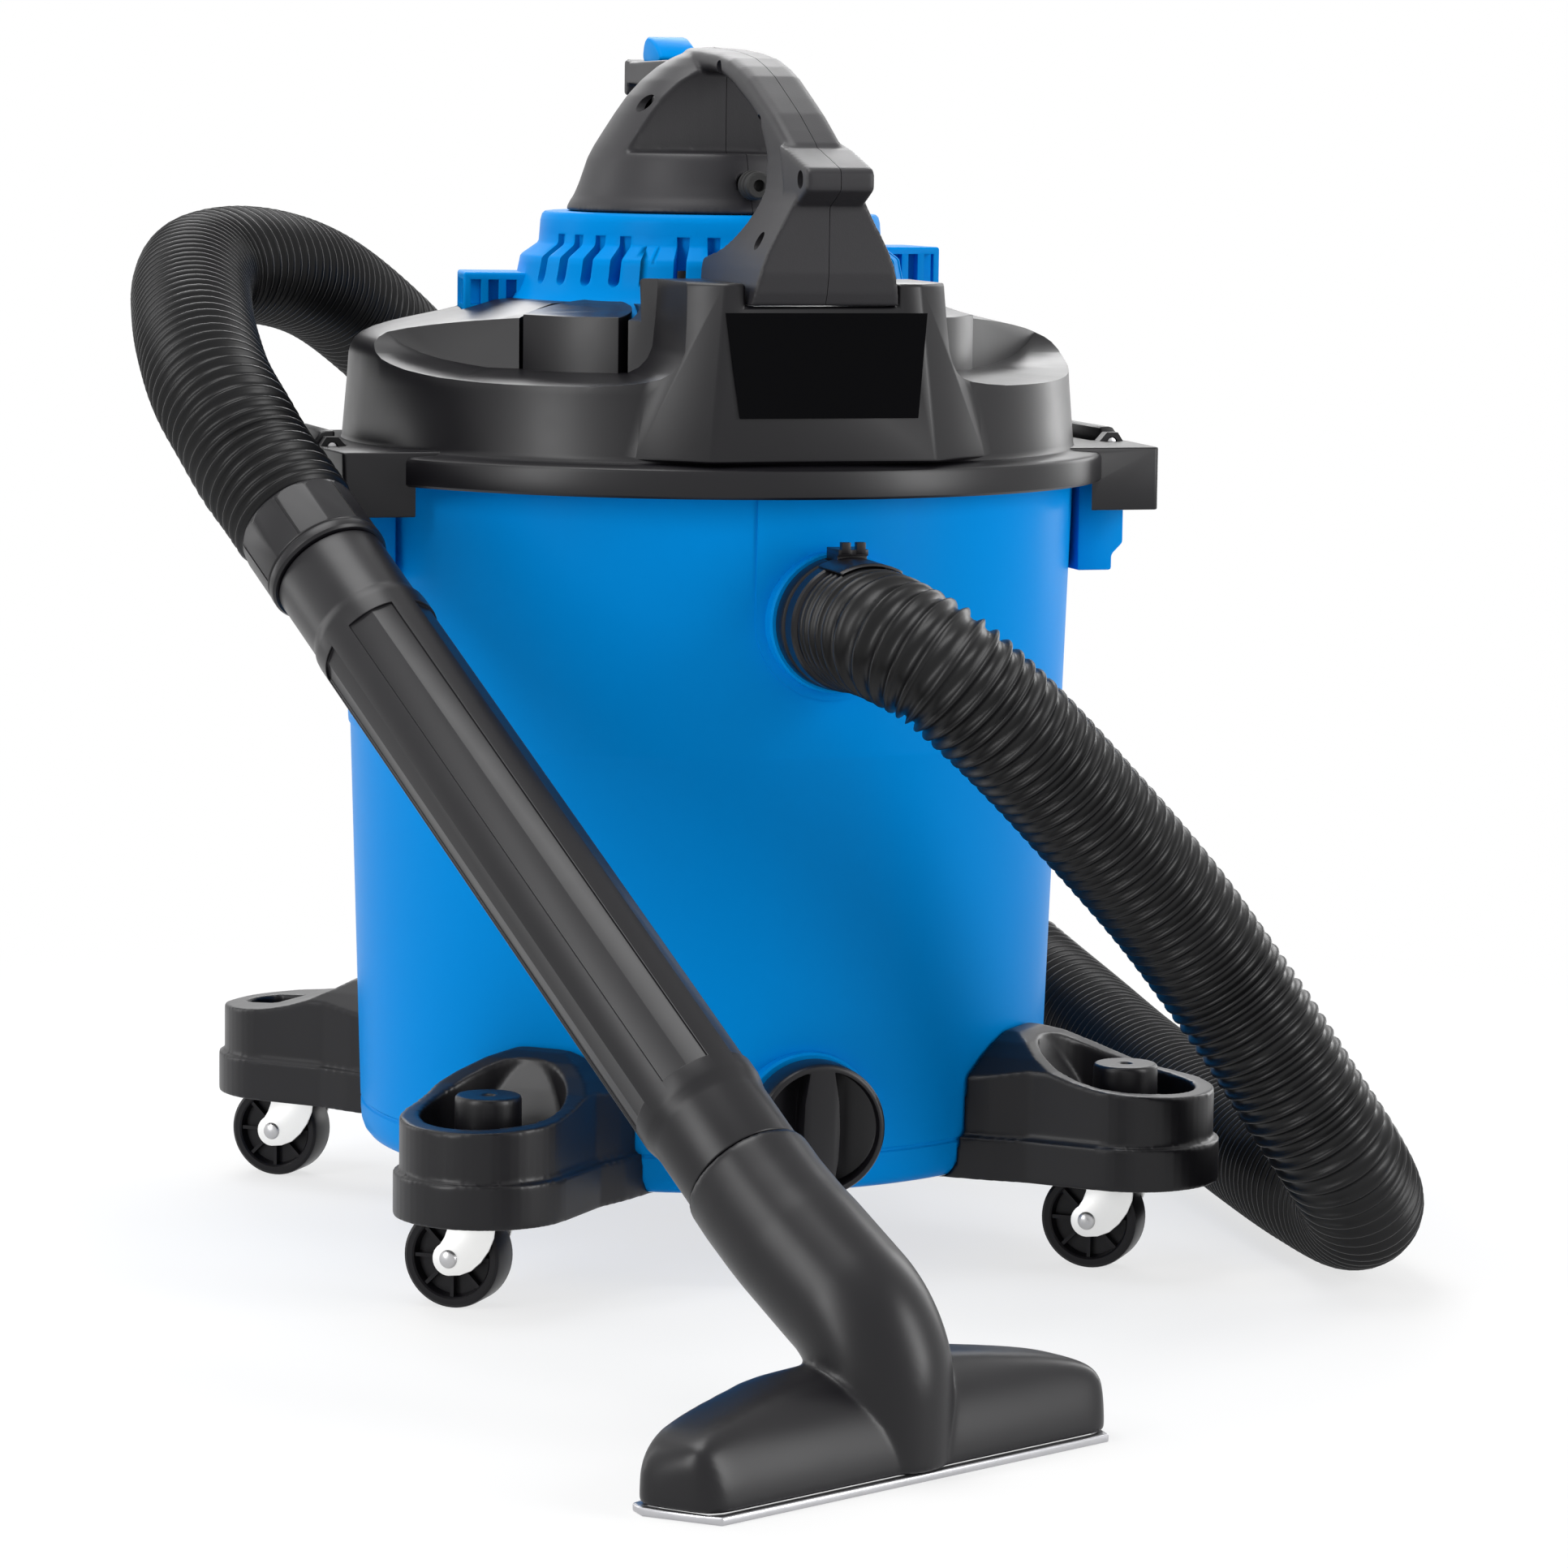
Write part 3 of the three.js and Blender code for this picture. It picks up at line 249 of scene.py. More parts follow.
# %% Turned pieces
def turned(name, profile, sides=64):
    profile = [(r, z) for r, z in profile if r > 0]
    radius, height = profile[0]
    bpy.ops.mesh.primitive_circle_add(vertices=sides, radius=radius * MM, location=(0, 0, height * MM))
    piece = start(name)
    pick(piece)
    bpy.ops.object.transform_apply()
    into_edit(piece)
    for next_radius, next_height in profile[1:]:
        rise = (0, 0, (next_height - height) * MM)
        bpy.ops.mesh.extrude_edges_move(TRANSFORM_OT_translate={"value": rise})
        share = next_radius / radius
        bpy.ops.transform.resize(value=(share, share, 1), center_override=(0, 0, next_height * MM))
        radius, height = next_radius, next_height
    bpy.ops.mesh.select_all(action="SELECT")
    bpy.ops.mesh.remove_doubles(threshold=2e-6)
    bpy.ops.mesh.fill_holes(sides=0)
    out_of_edit()
    face_out(piece)
    return piece


def face_out(piece):
    into_edit(piece)
    bpy.ops.mesh.normals_make_consistent(inside=False)
    out_of_edit()


# %% [markdown]
# A plate or rib starts as a filled disc with as many corners as its outline. The corners are moved to
# the outline, and the face is extruded to its thickness. `facing` says which way the outline looks.

# %% Plates
def slab(name, outline, low, high, facing="Z"):
    bpy.ops.mesh.primitive_circle_add(vertices=len(outline), radius=0.01, fill_type="NGON")
    piece = start(name)
    for corner, (a, b) in zip(piece.data.vertices, outline):
        corner.co = {"X": (low, a, b), "Y": (a, low, b), "Z": (a, b, low)}[facing]
        corner.co *= MM
    step = {"X": (1, 0, 0), "Y": (0, 1, 0), "Z": (0, 0, 1)}[facing]
    into_edit(piece)
    bpy.ops.mesh.extrude_region_move(TRANSFORM_OT_translate={"value": Vector(step) * (high - low) * MM})
    out_of_edit()
    face_out(piece)
    return piece


def block(name, low, high):
    (x0, y0, z0), (x1, y1, z1) = low, high
    return slab(name, [(x0, y0), (x1, y0), (x1, y1), (x0, y1)], z0, z1)


def arc(centre, radius, first, last, steps):
    angles = [math.radians(first + (last - first) * i / steps) for i in range(steps + 1)]
    return [(centre[0] + radius * math.cos(a), centre[1] + radius * math.sin(a)) for a in angles]


# %% Rods along each axis
def rod(name, radius, ends, facing="Z", sides=32):
    piece = turned(name, [(radius, ends[0]), (radius, ends[1])], sides)
    if facing == "Y":
        turn(piece, Matrix.Rotation(math.radians(-90), 4, "X"))
    if facing == "X":
        turn(piece, Matrix.Rotation(math.radians(90), 4, "Y"))
    return piece


def turn(piece, matrix):
    piece.data.transform(matrix)
    if matrix.determinant() < 0:
        face_out(piece)
    return piece


def shift(piece, x, y, z):
    return turn(piece, Matrix.Translation(Vector((x, y, z)) * MM))


def front_turned(name, profile, x, z, sides=64):
    piece = turned(name, profile, sides)
    turn(piece, Matrix.Rotation(math.radians(90), 4, "X"))
    return shift(piece, x, 0, z)


def copied(piece, name):
    twin = piece.copy()
    twin.data = piece.data.copy()
    twin.name = name
    bpy.context.scene.collection.objects.link(twin)
    return twin


def mirrored(piece, name):
    return turn(copied(piece, name), Matrix.Scale(-1, 4, (1, 0, 0)))


# %% [markdown]
# Cutting and joining are boolean modifiers, applied at once so that the tool can be thrown away.
# Rounded edges are a bevel modifier limited by angle, and the shading is smooth up to that angle, so
# that a moulded edge catches a line of light.

# %% Cutting, joining and rounding
def apply_last(piece):
    pick(piece)
    bpy.ops.object.modifier_apply(modifier=piece.modifiers[-1].name)
    return piece


def combine(piece, operation, *tools):
    for tool in tools:
        modifier = piece.modifiers.new(operation, "BOOLEAN")
        modifier.operation = operation
        modifier.solver = "EXACT"
        modifier.object = tool
        apply_last(piece)
        bpy.data.objects.remove(tool)
    return piece


def carve(piece, *tools):
    return combine(piece, "DIFFERENCE", *tools)


def weld(piece, *tools):
    return combine(piece, "UNION", *tools)


def keep_inside(piece, *tools):
    return combine(piece, "INTERSECT", *tools)


def rounded(piece, width, segments=2, angle=30):
    into_edit(piece)
    bpy.ops.mesh.remove_doubles(threshold=1e-5)
    out_of_edit()
    modifier = piece.modifiers.new("rounded edges", "BEVEL")
    modifier.width = width * MM
    modifier.segments = segments
    modifier.limit_method = "ANGLE"
    modifier.angle_limit = math.radians(angle)
    modifier.use_clamp_overlap = True
    return apply_last(piece)


def melted(piece, voxel, passes, share=1.0):
    modifier = piece.modifiers.new("one skin", "REMESH")
    modifier.mode = "VOXEL"
    modifier.voxel_size = voxel * MM
    apply_last(piece)
    modifier = piece.modifiers.new("soft edges", "SMOOTH")
    modifier.factor = 0.5
    modifier.iterations = passes
    apply_last(piece)
    if share < 1:
        modifier = piece.modifiers.new("fewer faces", "DECIMATE")
        modifier.ratio = share
        apply_last(piece)
    return piece


# %% [markdown]
# A finished piece sits at the origin with its place in its mesh, as the frame's own solids do. `done`
# moves the drawing from the tank axis to its place in the frame, paints it, puts it on its body and
# hides the plain solid that it stands for.

# %% Finishing
made = []


def done(piece, body, finish, *stands_for, angle=32):
    turn(piece, Matrix.Translation(AXIS))
    pick(piece)
    bpy.ops.object.shade_smooth_by_angle(angle=math.radians(angle))
    piece.data.materials.clear()
    piece.data.materials.append(FINISHES[finish])
    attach(piece, body)
    if stands_for:
        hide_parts(*stands_for)
    made.append(piece)
    faces = sum(len(f.vertices) - 2 for f in piece.data.polygons)
    print(f"{piece.name}: {faces} triangles")
    return piece

# %% [markdown]
# ## Finishes
#
# Almost everything here is injection-moulded plastic, and what tells one moulding from the next is its
# sheen: the tank is smooth and bright, the lid is satin, the handle has a fine spark-eroded grain and
# the hose has none. One shader group makes all of them: it lets the colour and the gloss drift a
# little over the surface and raises a fine grain. Values that are the same all over stay on the
# shader's own sockets.

# %% Shader groups
def new_group(name, inputs, outputs):
    group = bpy.data.node_groups.new(name, "ShaderNodeTree")
    for label, kind, value in inputs:
        socket = group.interface.new_socket(label, in_out="INPUT", socket_type=kind)
        socket.default_value = value
    for label, kind in outputs:
        group.interface.new_socket(label, in_out="OUTPUT", socket_type=kind)
    return group, group.nodes.new("NodeGroupInput"), group.nodes.new("NodeGroupOutput")


FLOAT = "NodeSocketFloat"
COLOUR = "NodeSocketColor"
NORMAL = "NodeSocketVector"


def noise_at(group, coordinates, scale, detail=3.0):
    sockets = {"Detail": detail, "Vector": coordinates.outputs["Object"], "Scale": scale}
    return add_node(group, "TexNoise", sockets).outputs["Fac"]


def spread_about(group, noise, middle, spread):
    """middle + (noise - 0.5) * spread, as nodes"""
    centred = add_node(group, "Math", {0: noise, 1: 0.5}, operation="SUBTRACT")
    return add_node(group, "Math", {0: centred.outputs[0], 1: spread, 2: middle}, operation="MULTIPLY_ADD").outputs[0]


def bump(group, height, strength, distance, below=None):
    """raises the surface by a height, over another bump if there is one"""
    sockets = {"Distance": distance, "Height": height, "Strength": strength}
    if below:
        sockets["Normal"] = below
    return add_node(group, "Bump", sockets).outputs[0]


def make_moulded_skin():
    group, given, result = new_group(
        "moulded skin",
        [
            ("Colour", COLOUR, (0.5, 0.5, 0.5, 1)),
            ("Drift", FLOAT, 0.12),
            ("Roughness", FLOAT, 0.4),
            ("Gloss Spread", FLOAT, 0.12),
            ("Grain Scale", FLOAT, 1500.0),
            ("Grain Depth", FLOAT, 0.05),
            ("Flow Depth", FLOAT, 0.04),
        ],
        [("Colour", COLOUR), ("Roughness", FLOAT), ("Normal", NORMAL)],
    )
    asked = given.outputs
    where = add_node(group, "TexCoord", {})
    one = group.nodes.new("ShaderNodeValue")
    one.outputs[0].default_value = 1.0
    value = spread_about(group, noise_at(group, where, 9.0), one.outputs[0], asked["Drift"])
    shade = add_node(group, "HueSaturation", {"Value": value, "Color": asked["Colour"]})
    gloss = spread_about(group, noise_at(group, where, 42.0, 5.0), asked["Roughness"], asked["Gloss Spread"])
    grain = bump(group, noise_at(group, where, asked["Grain Scale"], 2.0), asked["Grain Depth"], 0.0006)
    flow = bump(group, noise_at(group, where, 14.0, 1.0), asked["Flow Depth"], 0.004, below=grain)
    fill(group, result, {"Colour": shade.outputs["Color"], "Roughness": gloss, "Normal": flow})
    return group


def make_plated_metal():
    group, given, result = new_group(
        "plated metal",
        [
            ("Colour", COLOUR, (0.6, 0.6, 0.6, 1)),
            ("Roughness", FLOAT, 0.3),
            ("Gloss Spread", FLOAT, 0.2),
            ("Brushing", FLOAT, 0.1),
            ("Tarnish", FLOAT, 0.2),
        ],
        [("Colour", COLOUR), ("Roughness", FLOAT), ("Normal", NORMAL)],
    )
    asked = given.outputs
    where = add_node(group, "TexCoord", {})
    stretch = add_node(group, "Mapping", {"Vector": where.outputs["Object"], "Scale": (60, 1100, 1100)})
    lines = add_node(group, "TexNoise", {"Scale": 1.0, "Vector": stretch.outputs[0]}).outputs["Fac"]
    gloss = spread_about(group, lines, asked["Roughness"], asked["Gloss Spread"])
    patches = {0: noise_at(group, where, 120.0, 6.0), 1: asked["Tarnish"]}
    amount = add_node(group, "Math", patches, operation="MULTIPLY").outputs[0]
    dull = add_node(group, "Mix", {"Factor": amount, "A": asked["Colour"], "B": (0.35, 0.33, 0.3, 1)},
                    data_type="RGBA", blend_type="MULTIPLY")
    raised = bump(group, lines, asked["Brushing"], 0.0002)
    fill(group, result, {"Colour": dull.outputs["Result"], "Roughness": gloss, "Normal": raised})
    return group


MOULDED_SKIN = make_moulded_skin()
PLATED_METAL = make_plated_metal()


# %% Finishes from the groups
def finish_from(group, name, fixed, values):
    material = bpy.data.materials.new(name)
    material.use_nodes = True
    tree = material.node_tree
    effect = tree.nodes.new("ShaderNodeGroup")
    effect.node_tree = group
    fill(tree, effect, {key: (*value, 1) if isinstance(value, tuple) else value for key, value in values.items()})
    varied = {"Base Color": "Colour", "Roughness": "Roughness", "Normal": "Normal"}
    links = {socket: effect.outputs[result] for socket, result in varied.items()}
    fill(tree, tree.nodes["Principled BSDF"], {**fixed, **links})
    return material


def plastic(name, colour, roughness, grain=0.05, scale=1500.0, drift=0.12, flow=0.04, spread=0.1, level=0.5):
    values = {
        "Colour": colour,
        "Roughness": roughness,
        "Grain Depth": grain,
        "Grain Scale": scale,
        "Drift": drift,
        "Flow Depth": flow,
        "Gloss Spread": spread,
    }
    return finish_from(MOULDED_SKIN, name, {"Specular IOR Level": level}, values)


def metal(name, colour, roughness, brushing=0.1, tarnish=0.2, spread=0.2):
    values = {
        "Colour": colour,
        "Roughness": roughness,
        "Brushing": brushing,
        "Tarnish": tarnish,
        "Gloss Spread": spread,
    }
    return finish_from(PLATED_METAL, name, {"Metallic": 1.0}, values)


FINISHES = {
    "blue_plastic": plastic("blue moulded plastic", (0.0, 0.232, 0.65), 0.34, grain=0.02, drift=0.05, flow=0.01,
                            spread=0.03, level=0.02),
    "black_plastic": plastic("black satin plastic", (0.0042, 0.0038, 0.0052), 0.36, grain=0.008, flow=0.01,
                             level=0.32),
    "textured_black": plastic("black grained plastic", (0.014, 0.0132, 0.0155), 0.46, grain=0.06, scale=1300.0,
                              flow=0.0, level=0.34),
    "gloss_black": plastic("black gloss plate", (0.002, 0.002, 0.0025), 0.12, grain=0.0, flow=0.0, spread=0.02,
                           level=0.03),
    "hose_black": plastic("black hose plastic", (0.004, 0.004, 0.0045), 0.36, grain=0.0, flow=0.0, drift=0.0,
                          spread=0.0, level=0.24),
    "wheel_black": plastic("black wheel plastic", (0.006, 0.0055, 0.007), 0.36, grain=0.008, flow=0.0, level=0.2),
    "rubber": plastic("black rubber", (0.010, 0.010, 0.010), 0.70, grain=0.2, scale=900.0, flow=0.0),
    "white_plastic": plastic("white plastic", (0.76, 0.75, 0.71), 0.42, drift=0.05),
    "filter_paper": plastic("filter paper", (0.72, 0.67, 0.56), 0.85, grain=0.5, scale=700.0, drift=0.2),
    "zinc": metal("bright zinc plate", (0.86, 0.86, 0.85), 0.40, brushing=0.05, tarnish=0.08),
    "steel": metal("plated steel", (0.50, 0.50, 0.51), 0.32),
    "motor_steel": metal("motor steel", (0.40, 0.37, 0.34), 0.45, tarnish=0.5),
    "dull_silver": metal("dull silver strip", (0.50, 0.50, 0.52), 0.34, brushing=0.1),
}
for slot_name, material in FINISHES.items():
    print(slot_name, "is", material.name)

for node in nodes.values():
    slots = [entry["material_slot"] for entry in frame["record"]["subparts"] if entry["node"] == node.name]
    node.data.materials.clear()
    node.data.materials.append(FINISHES[slots[0]])

# %% [markdown]
# ## Hose
#
# The hose is blow-moulded with a narrow round rib every seven millimetres. It leaves the port, falls
# forwards and to the right, passes behind the tank and comes over its left shoulder to the wand. Its
# route is a list of given points, the same ones that the frame's plain tube follows, joined by a smooth
# curve. Rings of one radius per step would give a plain tube, so the radius rises and falls once per
# rib.

# %% Route of the hose
HOSE_ROUTE = [
    (8.5, -225.4, 332), (8.5, -247, 332), (12, -267, 330), (29, -284, 319), (55, -288, 297),
    (83, -284, 271), (105, -280, 249), (122, -277, 232), (154, -271, 198), (181, -267, 165),
    (205, -269, 132), (226, -270, 101), (248, -267, 71), (268, -247, 46), (277, -213, 34),
    (278, -157, 34), (284, -70, 36), (289, 17, 41), (289, 116, 51), (286, 190, 64),
    (272, 252, 84), (235, 289, 121), (178, 306, 179), (111, 316, 248), (43, 319, 314),
    (-18, 310, 373), (-71, 288, 419), (-111, 258, 452), (-153, 214, 478), (-190, 168, 490),
    (-219, 138, 493), (-241, 113, 490), (-253, 80, 483), (-262, 35, 470), (-268, -11, 455),
    (-269, -50, 437), (-264, -77, 420), (-257, -98, 402), (-251, -112, 391), (-244.5, -127.8, 377.9),
]


def smooth_route(points, steps=24):
    """centripetal Catmull-Rom curve through the points, as close-set points"""
    points = [at_axis(*p) for p in points]
    first = points[0] * 2 - points[1]
    last = points[-1] * 2 - points[-2]
    points = [first, *points, last]
    line = [points[1]]
    for a, b, c, d in zip(points, points[1:], points[2:], points[3:]):
        ta = 0.0
        tb = ta + math.sqrt((b - a).length)
        tc = tb + math.sqrt((c - b).length)
        td = tc + math.sqrt((d - c).length)
        for i in range(1, steps + 1):
            t = tb + (tc - tb) * i / steps
            ab = a.lerp(b, (t - ta) / (tb - ta))
            bc = b.lerp(c, (t - tb) / (tc - tb))
            cd = c.lerp(d, (t - tc) / (td - tc))
            abc = ab.lerp(bc, (t - ta) / (tc - ta))
            bcd = bc.lerp(cd, (t - tb) / (td - tb))
            line.append(abc.lerp(bcd, (t - tb) / (tc - tb)))
    return line


def lengths_along(line):
    total = [0.0]
    for a, b in zip(line, line[1:]):
        total.append(total[-1] + (b - a).length)
    return total


hose_line = smooth_route(HOSE_ROUTE)
hose_along = lengths_along(hose_line)

# %% Ribs of the hose
HOSE_CREST = 31.0
HOSE_GROOVE = 27.6
HOSE_SIDES = 40
RIB_PITCH = 6.9
RIB_SHAPE = [(0.0, 0.0), (0.22, 0.12), (0.34, 0.62), (0.46, 0.96), (0.54, 0.96), (0.66, 0.62), (0.78, 0.12)]


def point_along(line, along, distance):
    low = 0
    high = len(along) - 1
    while high - low > 1:
        middle = (low + high) // 2
        low, high = (middle, high) if along[middle] <= distance else (low, middle)
    share = (distance - along[low]) / (along[high] - along[low])
    return line[low].lerp(line[high], min(max(share, 0.0), 1.0))


def ribbed_tube(name, line, along):
    ribs = round(along[-1] / (RIB_PITCH * MM))
    pitch = along[-1] / ribs
    stations = [(i * pitch + at * pitch, rise) for i in range(ribs) for at, rise in RIB_SHAPE]
    stations.append((along[-1], 0.0))
    mesh = bmesh.new()
    side = Vector((1, 0, 0))
    rings = []
    centres = []
    for distance, rise in stations:
        here = point_along(line, along, distance)
        ahead = point_along(line, along, min(distance + 0.002, along[-1]))
        behind = point_along(line, along, max(distance - 0.002, 0.0))
        forward = (ahead - behind).normalized()
        side = (side - forward * side.dot(forward)).normalized()
        up = forward.cross(side)
        radius = (HOSE_GROOVE + (HOSE_CREST - HOSE_GROOVE) * rise) * MM
        ring = []
        for k in range(HOSE_SIDES):
            angle = 2 * math.pi * k / HOSE_SIDES
            ring.append(mesh.verts.new(here + (side * math.cos(angle) + up * math.sin(angle)) * radius))
        rings.append(ring)
        centres.append(here)
    for low, high in zip(rings, rings[1:]):
        for k in range(HOSE_SIDES):
            j = (k + 1) % HOSE_SIDES
            mesh.faces.new((low[k], low[j], high[j], high[k]))
    mesh.faces.new(list(reversed(rings[0])))
    mesh.faces.new(rings[-1])
    bmesh.ops.recalc_face_normals(mesh, faces=mesh.faces)
    data = bpy.data.meshes.new(name)
    mesh.to_mesh(data)
    mesh.free()
    tube = bpy.data.objects.new(name, data)
    bpy.context.scene.collection.objects.link(tube)
    return tube, centres


hose, hose_centres = ribbed_tube("ribbed_hose", hose_line, hose_along)
turn(hose, Matrix.Translation(-AXIS))
done(hose, "tank_body", "hose_black", "hose", angle=80)

# %% [markdown]
# ## Tank
#
# The tank is one deep moulding: a floor with a rounded corner, a wall that widens upwards with a step
# half way, and a rolled rim that the lid sits on. Its profile goes up the outside and comes back down
# the inside, so the wall has its real thickness. The hose port, its raised pad, the drain boss and the
# two brackets that the latches grip are welded on, and the holes are carved last.

# %% Tank shell
INLET = (8.5, 332)
DRAIN_Z = 84.5
TANK_OUT = [
    (165.5, 47.2), (169.5, 47.7), (172.8, 49.3), (175.2, 52.2), (176.5, 56), (177, 61), (177.0, 65.4),
    (176.3, 66.2), (176.3, 67.2), (177.2, 68.2), (183.1, 261.5), (184.1, 263.2), (184.3, 265.5),
    (188, 392), (188, 394), (196.5, 396), (196.5, 400.2), (195.7, 401),
]
TANK_IN = [
    (185.8, 401), (185, 400.2), (185, 392), (181.2, 266), (180.2, 262), (174.2, 67), (173.2, 60),
    (170.5, 54), (164, 50.2),
]


def wall_sleeve(grow):
    """a thick sleeve whose outside lies a little proud of the tank wall"""
    return turned("sleeve", [(184.3 + grow, 265.5), (188 + grow, 392), (150, 392), (150, 200),
                             (181.2 + grow, 200), (184.3 + grow, 265.5)], 128)


def latch_bracket():
    profile = [(180, 344), (199, 344), (199, 352), (205, 358), (205, 392), (180, 392)]
    bracket = slab("bracket", profile, -65, 65, "Y")
    rounded(bracket, 1.4)
    pockets = [block("pocket", (191.5, y, 340), (197, y + 17, 388)) for y in (-62, -42, -22, 5, 25, 45)]
    return carve(bracket, *pockets)


def make_tank():
    tank = turned("tank_shell", TANK_OUT + TANK_IN, 128)
    x, z = INLET
    pad_outline = [(x - 39, 391.5), *arc((x, z), 39, 180, 360, 24), (x + 39, 391.5)]
    pad = keep_inside(slab("pad", pad_outline, -210, -160, "Y"), wall_sleeve(1.1))
    rim_profile = [(34.6, 160), (34.6, 193.6), (33.6, 194.8), (25, 194.8), (25, 160), (34.6, 160)]
    boss_profile = [(35, 160), (35, 183.4), (33.8, 184.5), (18, 184.5), (18, 160), (35, 160)]
    rim = front_turned("port_rim", rim_profile, x, z)
    boss = front_turned("drain_boss", boss_profile, 0, DRAIN_Z)
    bracket = latch_bracket()
    weld(tank, pad, rim, boss, bracket, mirrored(bracket, "other_bracket"))
    port = shift(rod("port", 29, (100, 220), "Y", 48), x, 0, z)
    turn(port, Matrix.Rotation(math.pi, 4, "Z"))
    shift(port, 2 * x, 0, 0)
    drain = turn(rod("drain", 21.2, (100, 220), "Y", 48), Matrix.Rotation(math.pi, 4, "Z"))
    shift(drain, 0, 0, DRAIN_Z)
    return carve(tank, port, drain)


done(make_tank(), "tank_body", "blue_plastic", "tank", angle=30)

# %% [markdown]
# ## Port, hose collar and lock tab
#
# A screwed collar holds the hose in the port. The cuff behind it is glued to the hose, and a spring tab
# on top snaps into a notch of the collar, so the hose can be pulled off. All of them are turned about
# the port's own axis, which points forwards.

# %% Collar, cuff and tab
def front_block(low, high):
    """a block that is measured forwards from the tank axis"""
    (x0, y0, z0), (x1, y1, z1) = low, high
    return block("tool", (x0, -y1, z0), (x1, -y0, z1))


def make_inlet_collar():
    x, z = INLET
    profile = [
        (25.2, 172), (28.6, 172), (28.6, 195.4), (31.4, 195.4), (32.5, 196.6), (32.5, 203.6), (31.9, 205.2),
        (30.4, 206), (25.2, 206), (25.2, 172),
    ]
    collar = front_turned("collar", profile, x, z, 72)
    carve(collar, front_block((x - 9, 196.5, z + 27), (x + 9, 204.5, z + 40)))
    return rounded(collar, 0.5)


def make_tank_cuff():
    x, z = INLET
    profile = [
        (22, 176), (24.8, 176), (24.8, 206.5), (28.4, 206.5), (28.4, 208.6), (31.2, 208.6), (31.9, 209.6),
        (31.9, 218.6), (31, 220), (29.5, 220.6), (29.5, 225), (22, 225), (22, 176),
    ]
    return front_turned("cuff", profile, x, z, 72)


def make_lock_tab():
    x, z = INLET
    tongue = front_turned("tongue", [(31.9, 210), (33.1, 210), (32.7, 243), (31.5, 245), (31.9, 210)], x, z, 96)
    keep_inside(tongue, slab("wedge", [(x, z), (x + 22, z + 40), (x - 22, z + 40)], -250, -200, "Y"))
    arm = front_block((x - 7.5, 197.2, z + 30), (x + 7.5, 214, z + 35.2))
    top = front_block((x - 7.5, 197.2, z + 34), (x + 7.5, 216, z + 37))
    nubs = [front_block((x + a, 212.5, z + 35), (x + a + 4.5, 216.5, z + 40.5)) for a in (-6, 1.5)]
    return rounded(weld(tongue, arm, top, *nubs), 0.6)


done(make_inlet_collar(), "tank_body", "black_plastic", "inlet_collar")
done(make_tank_cuff(), "tank_body", "black_plastic", "hose_tank_cuff")
done(make_lock_tab(), "lock_tab", "black_plastic", "hose_lock_tab")

# %% [markdown]
# ## Drain cap
#
# The cap closes the drain at the foot of the tank. Its face has two thumb hollows, each deepest along
# the upright grip bar between them, so the cutters are wedges under a round outline.

# %% Drain cap and gasket
def make_drain_cap():
    profile = [
        (0, 166), (19, 166), (20.5, 168), (20.5, 187.3), (31.6, 187.3), (33, 188.7), (33, 203.4), (32.4, 205.2),
        (31.2, 206), (0, 206),
    ]
    cap = front_turned("cap", profile, 0, DRAIN_Z, 72)
    bar = [(6.4, DRAIN_Z - 28.6), (8.8, DRAIN_Z - 14), (9.4, DRAIN_Z), (8.8, DRAIN_Z + 14), (6.4, DRAIN_Z + 28.6)]
    for side in (1, -1):
        edge = arc((0, DRAIN_Z), 29.4, 72, -72, 20)
        outline = [(side * x, z) for x, z in bar + edge]
        hollow = slab("hollow", outline, -220, -186, "Y")
        wedge = slab("wedge", [(side * 4, -191.5), (side * 34, -203.4), (side * 34, -220), (side * 4, -220)], 40, 130)
        carve(cap, keep_inside(hollow, wedge))
    return rounded(cap, 0.8)


def make_drain_gasket():
    profile = [(24, 184.9), (30.6, 184.9), (31, 185.9), (30.6, 187), (24, 187), (24, 184.9)]
    return front_turned("gasket", profile, 0, DRAIN_Z, 64)


done(make_drain_cap(), "drain_cap", "black_plastic", "drain_cap")
done(make_drain_gasket(), "drain_plug", "rubber", "drain_gasket")

# %% [markdown]
# ## Feet
#
# Four feet plug into the wall of the tank. The front pair has a deep bowl round a post, where a tool
# can stand; the back pair is closed, with a half-moon hand slot. The corners of these mouldings are
# soft all over, which a bevel can't give after so many cuts, so the finished solid is melted: rebuilt
# as one even skin and smoothed a little. Each foot is drawn pointing along +X, then turned out to its
# corner.

# %% Shapes of the feet
FOOT_AZ = {"fl": -42, "fr": 46, "br": 136, "bl": -134}
SWIVEL_R = 240
FOOT_HALF = 41
FOOT_Z = 47


def foot_outline(grow):
    half = FOOT_HALF + grow
    tip = arc((SWIVEL_R + 4, 0), half, -90, 90, 28)
    return [(150, -half - 8), (186, -half - 4), (206, -half), *tip, (206, half), (186, half + 4), (150, half + 8)]


FOOT_TOP = [
    (150, 40), (300, 40), (300, 91), (284, 93.4), (268, 94.6), (252, 95.6), (240, 97), (228, 99.6), (216, 103.4),
    (204, 109.5), (196, 114.5), (188, 117.6), (178, 119), (150, 119.4),
]


def foot_body():
    body = keep_inside(slab("foot", foot_outline(0), FOOT_Z, 124), slab("top", FOOT_TOP, -60, 60, "Y"))
    arch = [(-62, 40), (-62, 80), (-52, 92), (-44, 100.5), (-35, 108), (-25, 114), (-14, 118), (0, 119.6)]
    arch += [(-y, z) for y, z in reversed(arch[:-1])]
    keep_inside(body, slab("arch", arch, 100, 320, "X"))
    return weld(body, slab("step", foot_outline(3), FOOT_Z, 68.5))


